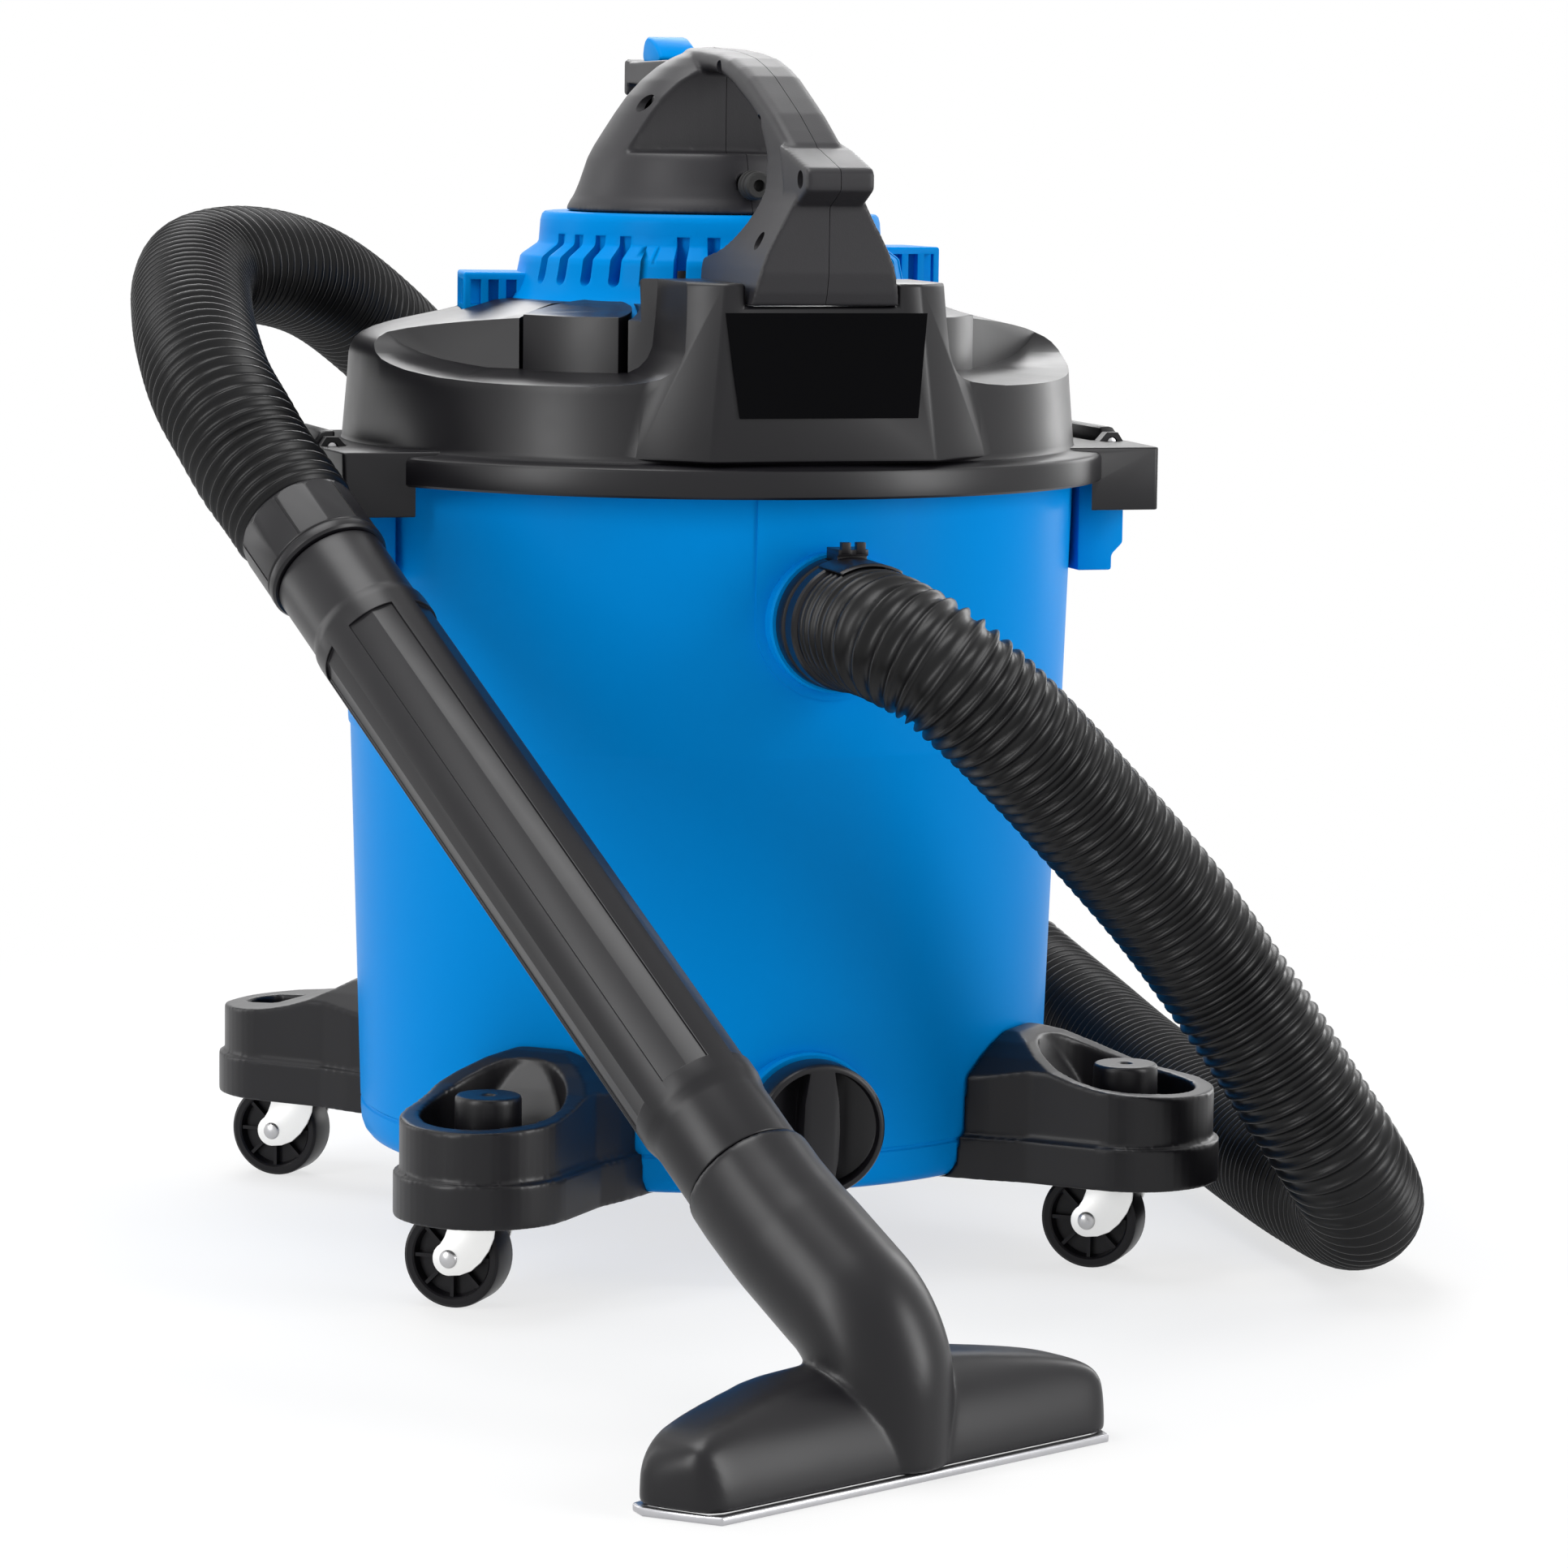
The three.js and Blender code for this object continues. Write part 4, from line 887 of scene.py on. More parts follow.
def make_front_foot():
    oval = [(235 + 40.5 * math.cos(a), 33.5 * math.sin(a)) for a in (2 * math.pi * i / 48 for i in range(48))]
    bowl = slab("bowl", oval, 60, 130)
    side = [(190, 130), (194, 116), (199, 101), (206, 86), (214, 74), (223, 67.6), (232, 66), (268, 66), (274, 69),
            (277, 78), (278, 130)]
    keep_inside(bowl, slab("bowl side", side, -50, 50, "Y"))
    foot = carve(foot_body(), bowl)
    post = turned("post", [(0, 58), (16.6, 58), (16.2, 103.6), (15.4, 104.6), (0, 104.6)], 48)
    hollow = turned("hollow", [(0, 102), (3.2, 102), (3.2, 112), (0, 112)], 24)
    weld(foot, shift(post, SWIVEL_R, 0, 0))
    return carve(foot, shift(hollow, SWIVEL_R, 0, 0))


def make_back_foot():
    half_moon = slab("slot", [(250, -14.5), *arc((259, 0), 15.5, -68, 68, 16), (250, 14.5)], 74, 130)
    spot = shift(rod("spot", 2.6, (90, 130)), 226, 0, 0)
    return carve(foot_body(), half_moon, spot)


def tank_wall_tool():
    return turned("wall", [(0, 40), (166, 46.4), (172.4, 48.8), (176.6, 54.6), (177.6, 63), (178, 67), (183, 200),
                           (0, 200)], 128)


def finished_foot(make):
    foot = make()
    recess = shift(rod("recess", 31, (30, 57)), SWIVEL_R, 0, 0)
    carve(foot, recess, tank_wall_tool())
    return melted(foot, 1.1, 6, 0.32)


front_foot = finished_foot(make_front_foot)
back_foot = finished_foot(make_back_foot)
for corner, azimuth in FOOT_AZ.items():
    model = front_foot if corner.startswith("f") else back_foot
    foot = turn(copied(model, f"foot_moulding_{corner}"), turn_to(azimuth))
    done(foot, "tank_body", "black_plastic", f"foot_{corner}", angle=50)
for model in (front_foot, back_foot):
    bpy.data.objects.remove(model)

# %% [markdown]
# ## Casters
#
# A caster is a pressed fork of zinc-plated steel, a riveted axle and a spoked plastic wheel. The fork's
# cheeks are teardrops that sweep from the swivel back to the axle. The wheel is turned, and eight ribs
# stand in the hollow of each face.

# %% Fork, axle and wheel
TRAIL = 15
WHEEL_R = 25
CHEEK = [
    (-9, 55.5), (-9.2, 44), (-8.4, 37), (-6, 30.5), (-2, 24.6), (3, 20), (9, 17.4), *arc((15, 25), 8.3, -90, 58, 14),
    (17.2, 35.6), (15.6, 40), (15, 46), (15, 55.5),
]


def make_fork():
    cheeks = []
    for inner, outer in ((11.5, 13.3), (-13.3, -11.5)):
        cheek = slab("cheek", CHEEK, inner, outer, "Y")
        cheeks.append(rounded(cheek, 0.5, 2, 50))
    bridge = rounded(block("bridge", (-9, -13.3, 52), (15, 13.3, 55.4)), 0.8)
    race = turned("race", [(0, 55), (14.5, 55), (15, 56), (14.5, 57.6), (12, 58.6), (0, 58.6)], 48)
    stem = turned("stem", [(0, 57), (5, 57), (5, 90), (4, 91), (0, 91)], 24)
    return weld(bridge, *cheeks, race, stem)


def make_axle():
    rivet = [(0, -15.6), (2.6, -15.4), (4, -14.6), (4.6, -13.4), (2.9, -13.4), (2.9, 13.4), (4.6, 13.4), (4, 14.6),
             (2.6, 15.4), (0, 15.6)]
    axle = turn(turned("axle", rivet, 24), Matrix.Rotation(math.radians(90), 4, "X"))
    return shift(axle, TRAIL, 0, WHEEL_R)


def make_wheel():
    profile = [
        (3.5, -10.8), (7, -10.8), (7.4, -10), (7.6, -4.5), (18.6, -4.5), (19.6, -9.2), (20.4, -10), (23.2, -10),
        (24.6, -9), (25, -7.4), (25, 7.4), (24.6, 9), (23.2, 10), (20.4, 10), (19.6, 9.2), (18.6, 4.5), (7.6, 4.5),
        (7.4, 10), (7, 10.8), (3.5, 10.8), (3.5, -10.8),
    ]
    wheel = turned("wheel", profile, 64)
    spoke = slab("spoke", [(6.8, -0.9), (20, -0.9), (20, 0.9), (6.8, 0.9)], -8.4, 8.4)
    for i in range(8):
        weld(wheel, turn(copied(spoke, "spoke"), Matrix.Rotation(math.radians(45 * i), 4, "Z")))
    bpy.data.objects.remove(spoke)
    turn(wheel, Matrix.Rotation(math.radians(90), 4, "X"))
    return shift(wheel, TRAIL, 0, WHEEL_R)


fork, axle, wheel = make_fork(), make_axle(), make_wheel()
trail_turn = Matrix.Rotation(math.atan2(0.6, -0.8), 4, "Z")
for corner, azimuth in FOOT_AZ.items():
    x, y = around(azimuth, SWIVEL_R)
    place = Matrix.Translation(Vector((x, y, 0)) * MM) @ trail_turn
    done(turn(copied(fork, f"fork_{corner}"), place), f"caster_{corner}", "zinc", f"caster_fork_{corner}")
    done(turn(copied(axle, f"axle_{corner}"), place), f"caster_{corner}", "steel", f"caster_axle_{corner}")
    tread = turn(copied(wheel, f"wheel_{corner}_tread"), place)
    done(tread, f"wheel_{corner}", "wheel_black", f"caster_wheel_{corner}")
for model in (fork, axle, wheel):
    bpy.data.objects.remove(model)

# %% [markdown]
# ## Lid
#
# The lid is the biggest black moulding: a flat flange over the tank rim, a drum above it, and a shallow
# dome on top. Two scoops are cut into the front corners to hold tools, each with a round post left
# standing in it, and a square block between them carries the plate and the foot of the handle. The
# outside is built first as one solid, then everything inside is carved away, which leaves a real shell.

# %% Outside of the lid
BAND_Z = 409
FLOOR_Z = 443.6
DECK_Z = 473
SCOOP_CHORD = 132
POST_AT_R = 129.6
POST_R = 27.6
POST_GAP = 3.4
EAR_X = 217
PIN_AT = (207, 408.5)
POST_ASIDE = 5
BLOCK_TAPER = (0.86, 0.975)
LEFT_WING = (-100, 494, 128)
RIGHT_WING = (96, 508, 120)


def lid_drum():
    profile = [
        (0, 392), (202.6, 392), (203.8, 393.2), (203.8, 404), (203.2, 405.6), (201.6, 406.6), (190.8, 407.4),
        (189, 408), (188.2, 409.4), (187.9, 411), (185.4, 440), (184.6, 452), (183.6, 456), (181.6, 459.4),
        (178.4, 462), (173, 464.6), (166, 466.8), (158, 468.8), (150, 470.6), (140, 472.8), (130, 475.4),
        (120, 478.6), (114.4, 480.4), (104, 481.6), (0, 481.6),
    ]
    return turned("lid_moulding", profile, 160)


def ear_plate():
    outline = [(150, -92), (EAR_X - 5, -92), (EAR_X - 3.6, -90.6), (EAR_X, -40), (EAR_X, 40), (EAR_X - 3.6, 90.6),
               (EAR_X - 5, 92), (150, 92)]
    return rounded(slab("ear", outline, 377, 409), 1.6, 3)


def scoop_tool(sign):
    """a sloping floor in front of a flat back wall, with rising fillets at both ends"""
    floor_line = [(-SCOOP_CHORD, 448.6), (-186, FLOOR_Z), (-260, 437.6), (-260, 520), (-SCOOP_CHORD, 520)]
    tool = turn(slab("scoop", floor_line, -170, 170, "Y"), turn_to(sign * 45) @ Matrix.Rotation(math.pi, 4, "Z"))
    front_end = [(-260, 430), (-260, 520), (-63, 520), (-63.6, 490), (-64.4, 475.4), (-65.4, 462), (-67.4, 456),
                 (-70.6, 451.6), (-75.4, 448.4), (-82, 446.4), (-92, 445), (-104, 444), (-120, 430)]
    back_end = [(-260, 430), (-150, 443), (-110, 444), (-86, 445.2), (-60, 447.8), (-46, 450), (-36, 452),
                (-28, 454.6), (-20, 458.6), (-14, 463.6), (-9.4, 470), (-7, 478), (-6, 520), (-260, 520)]
    front_end = slab("front end", [(-x * sign + 4 * (sign > 0), z) for x, z in front_end], -300, 100, "Y")
    return keep_inside(tool, front_end, slab("back end", back_end, -260, 260, "X"))


def front_drum_block():
    outline = [(-84, -119), (-88, -166), (-57.5, -192), (-54.5, -193), (56.5, -193), (59.5, -192), (94, -163),
               (90, -119)]
    piece = slab("front block", outline, BAND_Z, 495)
    for corner in piece.data.vertices:
        if corner.co.z > DECK_Z * MM:
            corner.co.x *= BLOCK_TAPER[0]
            corner.co.y *= BLOCK_TAPER[1]
    carve(piece, block("seat", (-38.4, -210, 484.2), (38.4, -112, 500)))
    return rounded(piece, 1.8, 3)


def post_body(sign, grow, low):
    """a round post with a blunt edge down its front; its top leans with the crown of the lid"""
    sides = turned("post", [(0, low), (POST_R + grow, low), (POST_R + grow, 500), (0, 500)], 96)
    shift(sides, 0, -POST_AT_R, 0)
    top = [(-SCOOP_CHORD - 12, 430), (-SCOOP_CHORD - 12, 474.4), (-SCOOP_CHORD, 476), (-SCOOP_CHORD + 12, 478.2),
           (-SCOOP_CHORD + 24, 481.4), (-SCOOP_CHORD + 34, 484.4), (-60, 486), (-60, 430)]
    front = [(-40, -SCOOP_CHORD - 1.6), (0, -SCOOP_CHORD - 5.6), (40, -SCOOP_CHORD - 1.6), (40, -60), (-40, -60)]
    if grow > 1:
        top = [(y, z + 20 * (z > 440)) for y, z in top]
        front = [(-40, -SCOOP_CHORD - 0.5), (40, -SCOOP_CHORD - 0.5), (40, -60), (-40, -60)]
    keep_inside(sides, slab("top", top, -60, 60, "X"), slab("front", front, 430, 505))
    return turn(shift(sides, POST_ASIDE * sign, 0, 0), Matrix.Rotation(math.radians(sign * 45), 4, "Z"))


def scoop_post(sign):
    post = rounded(post_body(sign, 0, 436), 1.2, 3, 50)
    dimples = []
    for along in (-10.5, 0, 10.5):
        dimple = turned("dimple", [(0, 470), (0.6, 477.6), (2.4, 478.4), (3.2, 480), (3.2, 500), (0, 500)], 20)
        shift(dimple, along + POST_ASIDE * sign, -SCOOP_CHORD + 14, 0.6)
        dimples.append(turn(dimple, Matrix.Rotation(math.radians(sign * 45), 4, "Z")))
    return carve(post, *dimples)


def post_gap(sign):
    """the dark groove that runs round the post"""
    gap = post_body(sign, POST_GAP, 447)
    return carve(gap, post_body(sign, 0.01, 440))


def head_room():
    """the space that the foot of the head stands in"""
    profile = [(113, DECK_Z), (113, 475), (110, 477.8), (106.4, 480.8), (103.4, 485), (101, 490), (101, 520),
               (1, 520)]
    return turned("head room", profile, 144)


def lid_inside():
    profile = [(0, 370), (199.5, 370), (199.5, 404), (180, 404), (178, 436), (176, 438.6), (92, 441), (90, 466.6),
               (0, 466.6)]
    return turned("inside", profile, 96)


def ear_inside():
    outline = [(150, -89), (EAR_X - 7, -89), (EAR_X - 3, -40), (EAR_X - 3, 40), (EAR_X - 7, 89), (150, 89)]
    return slab("ear inside", outline, 360, 406)


def pin_rod(radius, half, side, sides=24):
    pin = rod("pin", radius, (-half, half), "Y", sides)
    return shift(pin, PIN_AT[0] * side, 0, PIN_AT[1])


def make_lid():
    lid = lid_drum()
    ear = ear_plate()
    weld(lid, ear, mirrored(ear, "other ear"))
    weld(lid, front_drum_block())
    carve(lid, scoop_tool(1), scoop_tool(-1))
    rounded(lid, 1.3, 3, 33)
    for sign in (1, -1):
        carve(lid, post_gap(sign))
        weld(lid, scoop_post(sign))
    carve(lid, head_room(), *[turn(block("wing seat", (90, -23, DECK_Z), (reach + 1, 23, 500)), turn_to(azimuth))
                              for azimuth, top, reach in (LEFT_WING, RIGHT_WING)])
    carve(lid, lid_inside(), turned("pan hole", [(0, 455), (72, 455), (72, 480), (0, 480)], 64))
    inside = ear_inside()
    carve(lid, mirrored(inside, "other inside"), inside)
    slot = weld(block("slot", (203, -34, 350), (230, 34, 430)), block("seat", (197.4, -34, 398), (230, 34, 430)))
    lug = weld(latch_lug(-41, -34), latch_lug(34, 41))
    weld(lug, mirrored(lug, "other lug"))
    carve(lid, mirrored(slot, "other slot"), slot)
    weld(lid, lug)
    return carve(lid, pin_rod(2.8, 45, 1), pin_rod(2.8, 45, -1))


def latch_lug(low, high):
    outline = [(200, 402), (213, 402), (213, 409), (210, 413.5), (204, 413.5), (200, 409)]
    return slab("lug", outline, low, high, "Y")


done(make_lid(), "lid_head", "black_plastic", "lid", angle=30)

# %% [markdown]
# ## Details on the lid
#
# The gloss plate is bare, and its face leans back a little. The seal is a soft ring that the tank rim
# presses into.

# %% Plate, seal and latches
def make_label_plate():
    outline = [(-42, 430.5), (48, 430.5), (53, 481), (-49, 481)]
    plate = slab("plate", outline, -200, -180, "Y")
    front = [(-193.7, 425), (-193.1, 425), (-189.15, 486), (-189.75, 486)]
    return keep_inside(plate, slab("front", front, -80, 80, "X"))


def make_seal():
    profile = [(186.5, 401.3), (195, 401.3), (195, 403.2), (194.4, 403.7), (187.1, 403.7), (186.5, 403.2),
               (186.5, 401.3)]
    return turned("seal", profile, 128)


def make_latch():
    lever = slab("lever", [
        (214.5, 374), (220.4, 374), (222, 376), (222, 399.5), (213, 412.6), (210.8, 415.4), (208.6, 416),
        (204.4, 416), (203.6, 415.2), (203.6, 404.5), (214.5, 404.5),
    ], -32, 32, "Y")
    rounded(lever, 1.2, 3, 50)
    lip = slab("lip", [(205.5, 374), (216, 374), (216, 379), (207, 379), (205.5, 377.6)], -26, 26, "Y")
    grip = rounded(block("grip", (219, -24, 375.6), (223.5, 24, 380)), 1)
    weld(lever, lip, grip)
    grooves = [block("groove", (221.3, -20 + 10 * i - 1, 384), (225, -20 + 10 * i + 1, 398)) for i in range(5)]
    return carve(lever, pin_rod(2.8, 45, 1), *grooves)


done(make_label_plate(), "lid_head", "gloss_black", "label_plate")
done(make_seal(), "lid_head", "rubber", "lid_seal")
latch = make_latch()
done(mirrored(latch, "latch_lever_left"), "latch_left", "black_plastic", "latch_left")
latch.name = "latch_lever_right"
done(latch, "latch_right", "black_plastic", "latch_right")
for side, word in ((1, "right"), (-1, "left")):
    pin = pin_rod(2.3, 40.5, side)
    pin.name = f"pin_{word}"
    done(rounded(pin, 0.3), "lid_head", "steel", f"latch_pin_{word}")

# %% [markdown]
# ## Blue base of the motor head
#
# Air leaves the motor through the notches round this base, so it is a turned cover with a row of teeth,
# and two louvred boxes at its sides. One notch is modelled and copied round the axis. Its lower end is
# round, because the tool that cuts such a notch in the mould is round.

# %% Head base
BASE_Z = 473.3


def vent_wing(azimuth, top, reach):
    wing = rounded(block("wing", (80, -22, BASE_Z), (reach, 22, top)), 1.4, 3)
    low, high = BASE_Z + 4.5, top - 3.6
    windows = []
    for i in range(4):
        side = -18.5 + 9.6 * i
        windows.append(block("window", (reach - 9, side, low), (reach + 5, side + 7.2, high)))
    for i in range(3):
        near = reach - 27 + 9 * i
        for start_y, end_y in ((-30, -17), (17, 30)):
            windows.append(block("side window", (near, start_y, low), (near + 5.4, end_y, high)))
    return turn(carve(wing, *windows), turn_to(azimuth))


def vent_notch():
    slot = block("notch", (84.5, -3.2, 492.2), (112, 3.2, 514))
    end = rod("end", 3.2, (84.5, 112), "X", 20)
    return weld(slot, shift(end, 0, 0, 492.2))


def make_head_base():
    profile = [
        (112, BASE_Z), (112, 474.6), (109, 477), (105.4, 480), (102.4, 484.4), (100.2, 489), (98.8, 494),
        (97.8, 499), (97.2, 502), (96.2, 503.2), (88.6, 508.6), (87.8, 510), (87.4, 515), (87, 520.4), (86.2, 523.4),
        (84.8, 524.8), (83, 525),
    ]
    base = turned("head_base_cover", profile, 144)
    weld(base, vent_wing(*LEFT_WING), vent_wing(*RIGHT_WING))
    notch = vent_notch()
    for i in range(36):
        azimuth = 4.5 + 10 * i
        gaps = [abs((azimuth - wing + 180) % 360 - 180) for wing, top, reach in (LEFT_WING, RIGHT_WING)]
        if min(gaps) > 16:
            carve(base, turn(copied(notch, "notch"), turn_to(azimuth)))
    bpy.data.objects.remove(notch)
    inside = turned("inside", [(89, 465), (89, 480), (85.5, 494), (81.5, 508), (81, 521.5), (1, 521.5)], 96)
    carve(base, inside, rod("top hole", 60, (515, 530), "Z", 64))
    return rounded(base, 0.5, 2, 35)


done(make_head_base(), "lid_head", "blue_plastic", "head_base", angle=32)

# %% [markdown]
# ## Handle
#
# The motor cover and the carry handle are one moulding in two halves that meet on the middle plane,
# held by five screws from the left. The whole form is modelled first: a dome with a hollowed front, an
# arch, a leg with a flared foot, a hook in front and a hook behind. It is melted, so that every corner is
# soft, and only then split and drilled, so that the seam and the screw holes stay sharp.

# %% Outline of the handle
DOME_OUTER = [
    (73.5, 525.3), (73.5, 527.2), (72.2, 529.8), (70, 533.2), (67.4, 539.4), (65.2, 546), (63.2, 552), (60, 558.2),
    (55.4, 565.6), (49.4, 575), (43.4, 583.6), (36, 591.8), (28, 598.6), (20.6, 603.2), (12.6, 606.6), (5, 608.6),
    (0.6, 609),
]
DOME_INNER = [
    (70, 515), (70, 527), (65.8, 535), (60.4, 550), (52, 564), (39.8, 583.5), (25, 596.7), (12, 603.5), (0.6, 605),
]
ARCH = [
    (8, 608.6), (-22, 607.7), (-50, 606), (-75, 603), (-92, 598.8), (-107, 594), (-130, 584), (-148, 576),
    (-164, 567.6), (-178, 560), (-176, 546), (-145, 545), (-141, 549), (-138, 556), (-133.5, 562), (-124, 572),
    (-112, 577.6), (-100, 582), (-82, 588.6), (-62, 594), (-46, 596), (-30, 596.5), (-12, 592), (8, 590),
]
FRONT_LEG = [
    (-172, 560), (-145, 552), (-141, 549), (-144, 544), (-145.4, 538), (-144, 530), (-141.6, 524.6), (-138, 520),
    (-131.6, 514.8), (-124, 511), (-116, 508.4), (-108, 507), (-97.6, 505), (-97.6, 500.6), (-100, 496),
    (-104, 492.4), (-113, 490), (-114, 484.5), (-193, 484.5), (-196, 491), (-198, 500), (-198, 545),
]
LEG_HALF = [
    (14.5, 575), (14.5, 556), (15, 548), (16.2, 540), (18, 534.6), (20.6, 529.4), (24.4, 522), (28.4, 514.6),
    (31.4, 508.4), (33.6, 502.4), (35.6, 494), (37, 486.6), (37.6, 484.5),
]
FRONT_HOOK = [(-168, 561.6), (-181, 559), (-213, 550.5), (-215, 548.5), (-215, 540), (-206, 535.6), (-198, 532),
              (-180, 530)]
REAR_HOOK = [(20, 590), (104, 590), (104, 584), (110, 584), (110, 602), (107, 603), (100, 601.5), (20, 602.5)]
LEG_INSIDE = [(-150, 546), (-141, 530), (-128, 514), (-117, 510), (-117, 480), (-189, 480), (-194, 498), (-194, 530),
              (-180, 540)]
HANDLE_SCREWS = {
    "rear": (-20, 580, 41),
    "upper": (-60, 597.5, 14.5),
    "middle": (-128, 571, 14.5),
    "front": (-204, 545, 17),
    "lower": (-175, 515, 27.5),
}
GLAND_Z = 540
FINGER_HOLLOW_R = 420
FINGER_HOLLOW_Y = -26


# %% Body of the handle
def leg_across(inset, base):
    half = [(max(x - inset, 9), z) for x, z in LEG_HALF] + [(37.6 - inset, base)]
    return half + [(-x, z) for x, z in reversed(half)]


def dome_front(grow, floor):
    """the shallow hollow at the front of the dome, where the fingers go"""
    wall = turned("front", [(FINGER_HOLLOW_R + grow, floor), (FINGER_HOLLOW_R + grow, 640)], 360)
    return shift(wall, 0, FINGER_HOLLOW_Y - FINGER_HOLLOW_R, 0)


def handle_form():
    dome = carve(turned("handle", DOME_OUTER, 120), dome_front(0, 555.4))
    arch = rounded(slab("arch", ARCH, -14.5, 14.5, "X"), 4.5, 4, 60)
    leg = keep_inside(slab("leg", FRONT_LEG, -60, 60, "X"), slab("across", leg_across(0, 484.5), -205, -60, "Y"))
    hook = rounded(slab("hook", FRONT_HOOK, -17, 17, "X"), 1.4, 3, 25)
    rear = rounded(slab("rear hook", REAR_HOOK, -15.5, 15.5, "X"), 0.8, 2, 40)
    return weld(dome, arch, leg, hook, rear)


def handle_hollow():
    dome = carve(turned("hollow", DOME_INNER, 72), dome_front(3.5, 551.8))
    leg = keep_inside(slab("leg", LEG_INSIDE, -60, 60, "X"), slab("across", leg_across(4, 480), -205, -60, "Y"))
    return dome, leg


def make_handle():
    handle = handle_form()
    well = block("switch well", (-12, 55, 594.2), (12, 95.5, 625))
    gland_hole = shift(rod("gland hole", 6, (-95, -45), "Y", 32), 0, 0, GLAND_Z)
    carve(handle, *handle_hollow(), well, gland_hole)
    return melted(handle, 1.1, 5, 0.42)


def drill_handle(handle):
    for y, z, half in HANDLE_SCREWS.values():
        bore = rod("bore", 4.4, (-half - 20, -half + 7), "X", 24)
        shank = rod("shank", 1.9, (-half - 20, half - 3), "X", 12)
        carve(handle, shift(bore, 0, y, z), shift(shank, 0, y, z))
    return handle


handle = drill_handle(make_handle())
left = carve(copied(handle, "handle_half_left"), block("right side", (-0.15, -240, 470), (90, 130, 630)))
right = carve(copied(handle, "handle_half_right"), block("left side", (-90, -240, 470), (0.15, 130, 630)))
bpy.data.objects.remove(handle)
done(left, "lid_head", "textured_black", "handle_shell_left", angle=48)
done(right, "lid_head", "textured_black", "handle_shell_right", angle=48)

# %% Screws, switch and gland
for where, (y, z, half) in HANDLE_SCREWS.items():
    head = rod(f"screw_{where}", 3.9, (-half + 4.2, -half + 6.4), "X", 24)
    rounded(head, 0.5, 2, 40)
    carve(head, block("slot", (-half + 3, -2.6, -0.5), (-half + 5.2, 2.6, 0.5)),
          block("slot", (-half + 3, -0.5, -2.6), (-half + 5.2, 0.5, 2.6)))
    weld(head, rod("shank", 1.5, (-half + 5, half - 4), "X", 12))
    done(shift(head, 0, y, z), "lid_head", "steel", f"handle_screw_{where}")

SWITCH_Y = 75
SWITCH_Z = 599.5
ROCKER = [
    (58.5, 603), (60, 605.2), (63, 607.6), (68, 610.2), (74, 612.4), (79, 614), (84, 614.5), (88, 613), (90.5, 610),
    (92, 606), (92, 603), (89, 601), (82, 597.6), (75, 595.6), (68, 597.6), (62, 601),
]


def make_switch():
    rocker = rounded(slab("rocker", ROCKER, -10.5, 10.5, "X"), 1.6, 4, 45)
    return carve(rocker, shift(rod("pin hole", 1.9, (-12, 12), "X", 16), 0, SWITCH_Y, SWITCH_Z))


def make_gland():
    profile = [(7.4, 56.5), (7.4, 60.5), (5.5, 61), (5.5, 71.4), (7.5, 72), (7.5, 74.4), (6.7, 74.8), (6.7, 76.2),
               (7.4, 76.6), (7.2, 78.8), (6.4, 79.2), (6.4, 80.4), (7, 80.8), (6.6, 83.4), (5.8, 84), (3, 84),
               (3, 80)]
    return front_turned("gland", profile, 0, GLAND_Z, 40)


done(make_switch(), "power_switch", "blue_plastic", "power_switch", angle=40)
switch_pin = shift(rod("switch pivot", 1.5, (-11.7, 11.7), "X", 16), 0, SWITCH_Y, SWITCH_Z)
switch_pin.name = "switch_pivot"
done(rounded(switch_pin, 0.3), "lid_head", "steel", "switch_pin")
done(make_gland(), "lid_head", "rubber", "cord_gland")

# %% [markdown]
# ## Wand
#
# The wand is a straight tube with five long sunk panels, each of two flats, between smooth ridges. It is
# drawn upright at the origin like any turned piece, and a matrix lays it along its real line, from the
# nozzle up to the cuff at the tank's left shoulder. The cuff that grips the end of the hose is faceted,
# with a narrow groove at each second corner.

# %% Line of the wand
WAND_LOW = Vector((-103.8, -477.2, 94.0))
WAND_HIGH = Vector((-234.0, -154.0, 356.6))
WAND_R = 29.7
wand_axis = (WAND_HIGH - WAND_LOW).normalized()
wand_length = (WAND_HIGH - WAND_LOW).length


def wand_frame():
    across = -Vector((0, 0, 1)).cross(wand_axis).normalized()
    up = wand_axis.cross(across)
    turned_so = Matrix((across, up, wand_axis)).transposed().to_4x4()
    return Matrix.Translation(WAND_LOW * MM) @ turned_so


WAND_FRAME = wand_frame()
to_camera = (Vector(CAMERA_AT) - WAND_LOW).normalized()
facing = WAND_FRAME.to_3x3().transposed() @ to_camera
FRONT_ANGLE = math.degrees(math.atan2(facing.y, facing.x))
print("the wand is", round(wand_length, 1), "mm long, and its front lies at", round(FRONT_ANGLE, 1), "degrees")


# %% Wand and cuff
def panel_cutter(angle):
    """one sunk panel: two flats that meet a little off the middle"""
    low = wand_length - 54
    flats = [(angle, 28.4), (angle + 25.5, 28.7), (angle + 46, 28.4)]
    inner = [(r * math.cos(math.radians(a)), r * math.sin(math.radians(a))) for a, r in flats]
    outer = arc((0, 0), 38, angle + 46, angle, 4)
    return slab("panel", inner + outer, 82, low)


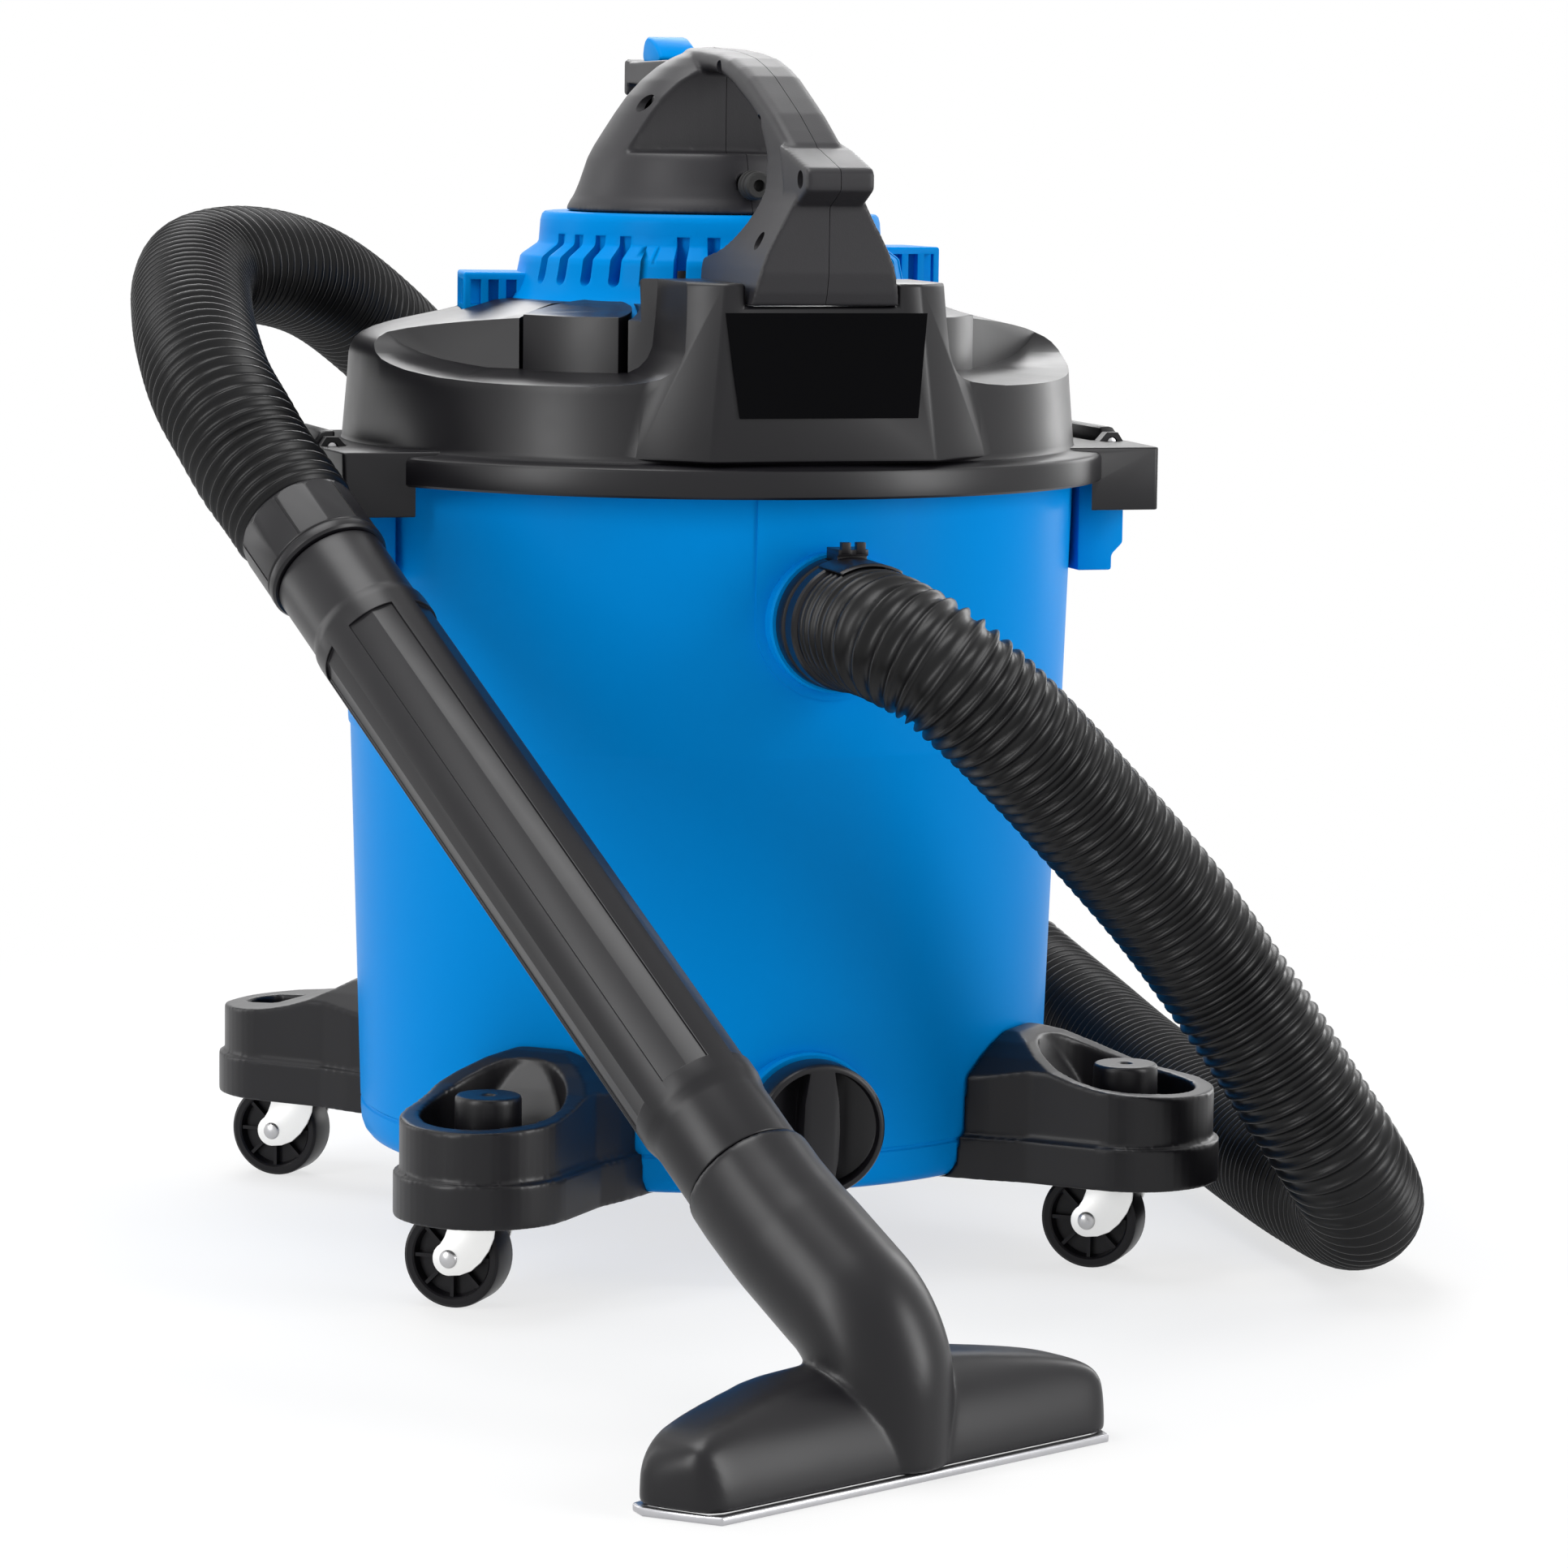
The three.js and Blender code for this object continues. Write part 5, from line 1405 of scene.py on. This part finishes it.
def make_wand():
    end = wand_length
    profile = [
        (25.1, 36), (27.4, 36), (28, 36.6), (28, 66), (28.4, 69), (29.2, 72.4), (WAND_R, 75), (WAND_R, end - 46),
        (29.4, end - 43), (28.5, end - 40.4), (28, end - 38), (28, end - 2.4), (27.2, end - 1.6), (26, end - 1.6),
        (26, 44), (22.5, 40), (22.5, -10), (24.7, -10), (25.1, -9.6), (25.1, 36),
    ]
    wand = turned("wand_tube", profile, 120)
    cutters = [panel_cutter(FRONT_ANGLE - 14 - 72 * i) for i in range(5)]
    carve(wand, *cutters)
    return turn(rounded(wand, 0.45, 2, 24), WAND_FRAME)


def make_wand_cuff():
    end = wand_length
    profile = [
        (22, end - 50), (25.4, end - 50), (25.6, end - 1.2), (29.2, end - 1.2), (30.3, end), (30.3, end + 3.6),
        (29.4, end + 4.4), (29.4, end + 5), (29.9, end + 5.4), (30.1, end + 7), (30.1, end + 31), (29.2, end + 34),
        (28.4, end + 35), (22, end + 35), (22, end - 50),
    ]
    cuff = turned("cuff", profile, 96)
    for i in range(12):
        angle = FRONT_ANGLE + 12 + 30 * i
        flat = block("flat", (29.2, -9, end + 6), (36, 9, end + 40))
        tools = [flat]
        if i % 2:
            tools.append(block("groove", (28.5, 7.2, end + 6), (36, 8.4, end + 40)))
        for tool in tools:
            turn(tool, Matrix.Rotation(math.radians(angle), 4, "Z"))
        carve(cuff, *tools)
    return turn(rounded(cuff, 0.3, 2, 18), WAND_FRAME)


done(make_wand(), "tank_body", "black_plastic", "wand", angle=22)
done(make_wand_cuff(), "tank_body", "black_plastic", "hose_wand_cuff", angle=16)

# %% [markdown]
# ## Floor nozzle
#
# The nozzle is a low hood with rounded ends and a neck that leans back to the wand. Three outlines,
# seen from above, from the side and from the front, are extruded and kept where they overlap, which
# gives the hood; the neck is turned about the wand's line and bent at its lower end into the hood. The
# sum is melted more than the feet are, because the real joint between hood and neck is a smooth sweep.

# %% Outlines of the nozzle
MOUTH_ALONG = Vector((0.908, 0.419, 0)).normalized()
MOUTH_FACE = Vector((0.419, -0.908, 0)).normalized()
MOUTH_MID = Vector((-68, -554.5, 0))
MOUTH_TURN = Matrix((MOUTH_ALONG, -MOUTH_FACE, Vector((0, 0, 1)))).transposed().to_4x4()
NOZZLE_FRAME = Matrix.Translation(MOUTH_MID * MM) @ MOUTH_TURN
HOOD_SIDE = [
    (0, -14), (62, -14), (62, 28), (60.8, 34.4), (57.4, 40.4), (52.6, 44.6), (47, 47.2), (41, 48.2), (34, 47.8),
    (27, 45.6), (20.4, 42.2), (14.6, 38.4), (9.4, 33.4), (5.6, 28), (3, 22), (1.4, 15.4), (0.4, 10),
]
HOOD_FRONT = [
    (0, 48), (30, 47), (58, 44), (80, 41), (98, 38), (110, 35), (118, 31), (123.4, 25.6), (126.6, 19), (127.8, 10),
    (127.8, -14),
]
# the neck is a round tube: straight up out of the hood, then bent back to the line of the wand
NECK_R = 31
BEND_R = 42
BEND_START = -44
BEND_ANGLE = math.radians(53)
LEAN = (6.5, -5)
LEAN_FROM, LEAN_OVER = 12, 84


def bent(piece):
    """turns the lower end of an upright tube about the bend of the neck, which also leans a little sideways"""
    for vertex in piece.data.vertices:
        x, y, z = (value * 1000 for value in vertex.co)
        lean = min(max((LEAN_FROM - z) / LEAN_OVER, 0), 1)
        x += LEAN[0] * lean
        y += LEAN[1] * lean
        if z < BEND_START:
            angle = min((BEND_START - z) / BEND_R, BEND_ANGLE)
            rest = BEND_START - z - BEND_R * angle
            if angle < BEND_ANGLE:
                rest = 0
            reach = BEND_R - y
            y = BEND_R - reach * math.cos(angle) + rest * math.sin(angle)
            z = BEND_START - reach * math.sin(angle) - rest * math.cos(angle)
        vertex.co = (x / 1000, y / 1000, z / 1000)
    return piece


def mouth_outline(grow):
    right = [(112 + grow, -grow), (118 + grow, 6), (127 + grow, 32), (127 + grow, 36), (124 + grow, 40 + grow)]
    rear = [(66, 52 + grow), (52, 56 + grow), (40, 58 + grow)]
    half = right + rear
    return half + [(-x, y) for x, y in reversed(half)]


def rim_outline(grow):
    right = [(112 + grow, -grow), (127 + grow, 32), (124 + grow, 40 + grow), (66, 52 + grow), (40, 58 + grow)]
    return right + [(-x, y) for x, y in reversed(right)]


def across(outline):
    return outline + [(-x, z) for x, z in reversed(outline) if x > 0]


# %% Nozzle and lip
def bent_tube(name, radius, top):
    steps = [(radius, BEND_START - 2.6 * i) for i in range(42, 0, -1)]
    steps += [(radius, BEND_START + 4 * i) for i in range(10)]
    return turn(bent(turned(name, steps + top, 96)), WAND_FRAME)


def make_nozzle():
    hood = slab("nozzle_hood", mouth_outline(0.6), -14, 48)
    keep_inside(hood, slab("side", HOOD_SIDE, -130, 130, "X"), slab("front", across(HOOD_FRONT), -10, 80, "Y"))
    melted(hood, 1.8, 80, 0.5)
    turn(hood, NOZZLE_FRAME)
    neck = bent_tube("neck", NECK_R, [(30.6, 2), (30.2, 20), (30, 34.2), (28.8, 35.6)])
    weld(hood, neck)
    carve(hood, block("floor", (-300, -800, -90), (300, -300, 4)))
    inner_half = [(0, 40), (28, 39), (56, 35), (92, 26), (106, 20), (113, 13), (118, 4), (118, 0)]
    inner_front = inner_half + [(-x, z) for x, z in reversed(inner_half) if x > 0]
    hollow = slab("hollow", mouth_outline(-5), 0, 46)
    keep_inside(hollow, slab("side", [(5, 0), (56, 0), (56, 24), (48, 35), (34, 39.6), (20, 35.6), (9, 25), (5, 14)],
                             -130, 130, "X"), slab("front", across(inner_front), -10, 80, "Y"))
    carve(hood, turn(hollow, NOZZLE_FRAME), bent_tube("bore", 25.4, [(25.4, 50)]))
    return melted(hood, 1.25, 12, 0.4)


def make_lip():
    lip = slab("lip", rim_outline(1.5), 0, 3.7)
    carve(lip, slab("mouth", mouth_outline(-3.6), -2, 6))
    return turn(rounded(lip, 0.9, 3, 60), NOZZLE_FRAME)


done(make_nozzle(), "floor_nozzle", "black_plastic", "floor_nozzle", angle=60)
done(make_lip(), "floor_nozzle", "dull_silver", "nozzle_lip", angle=40)
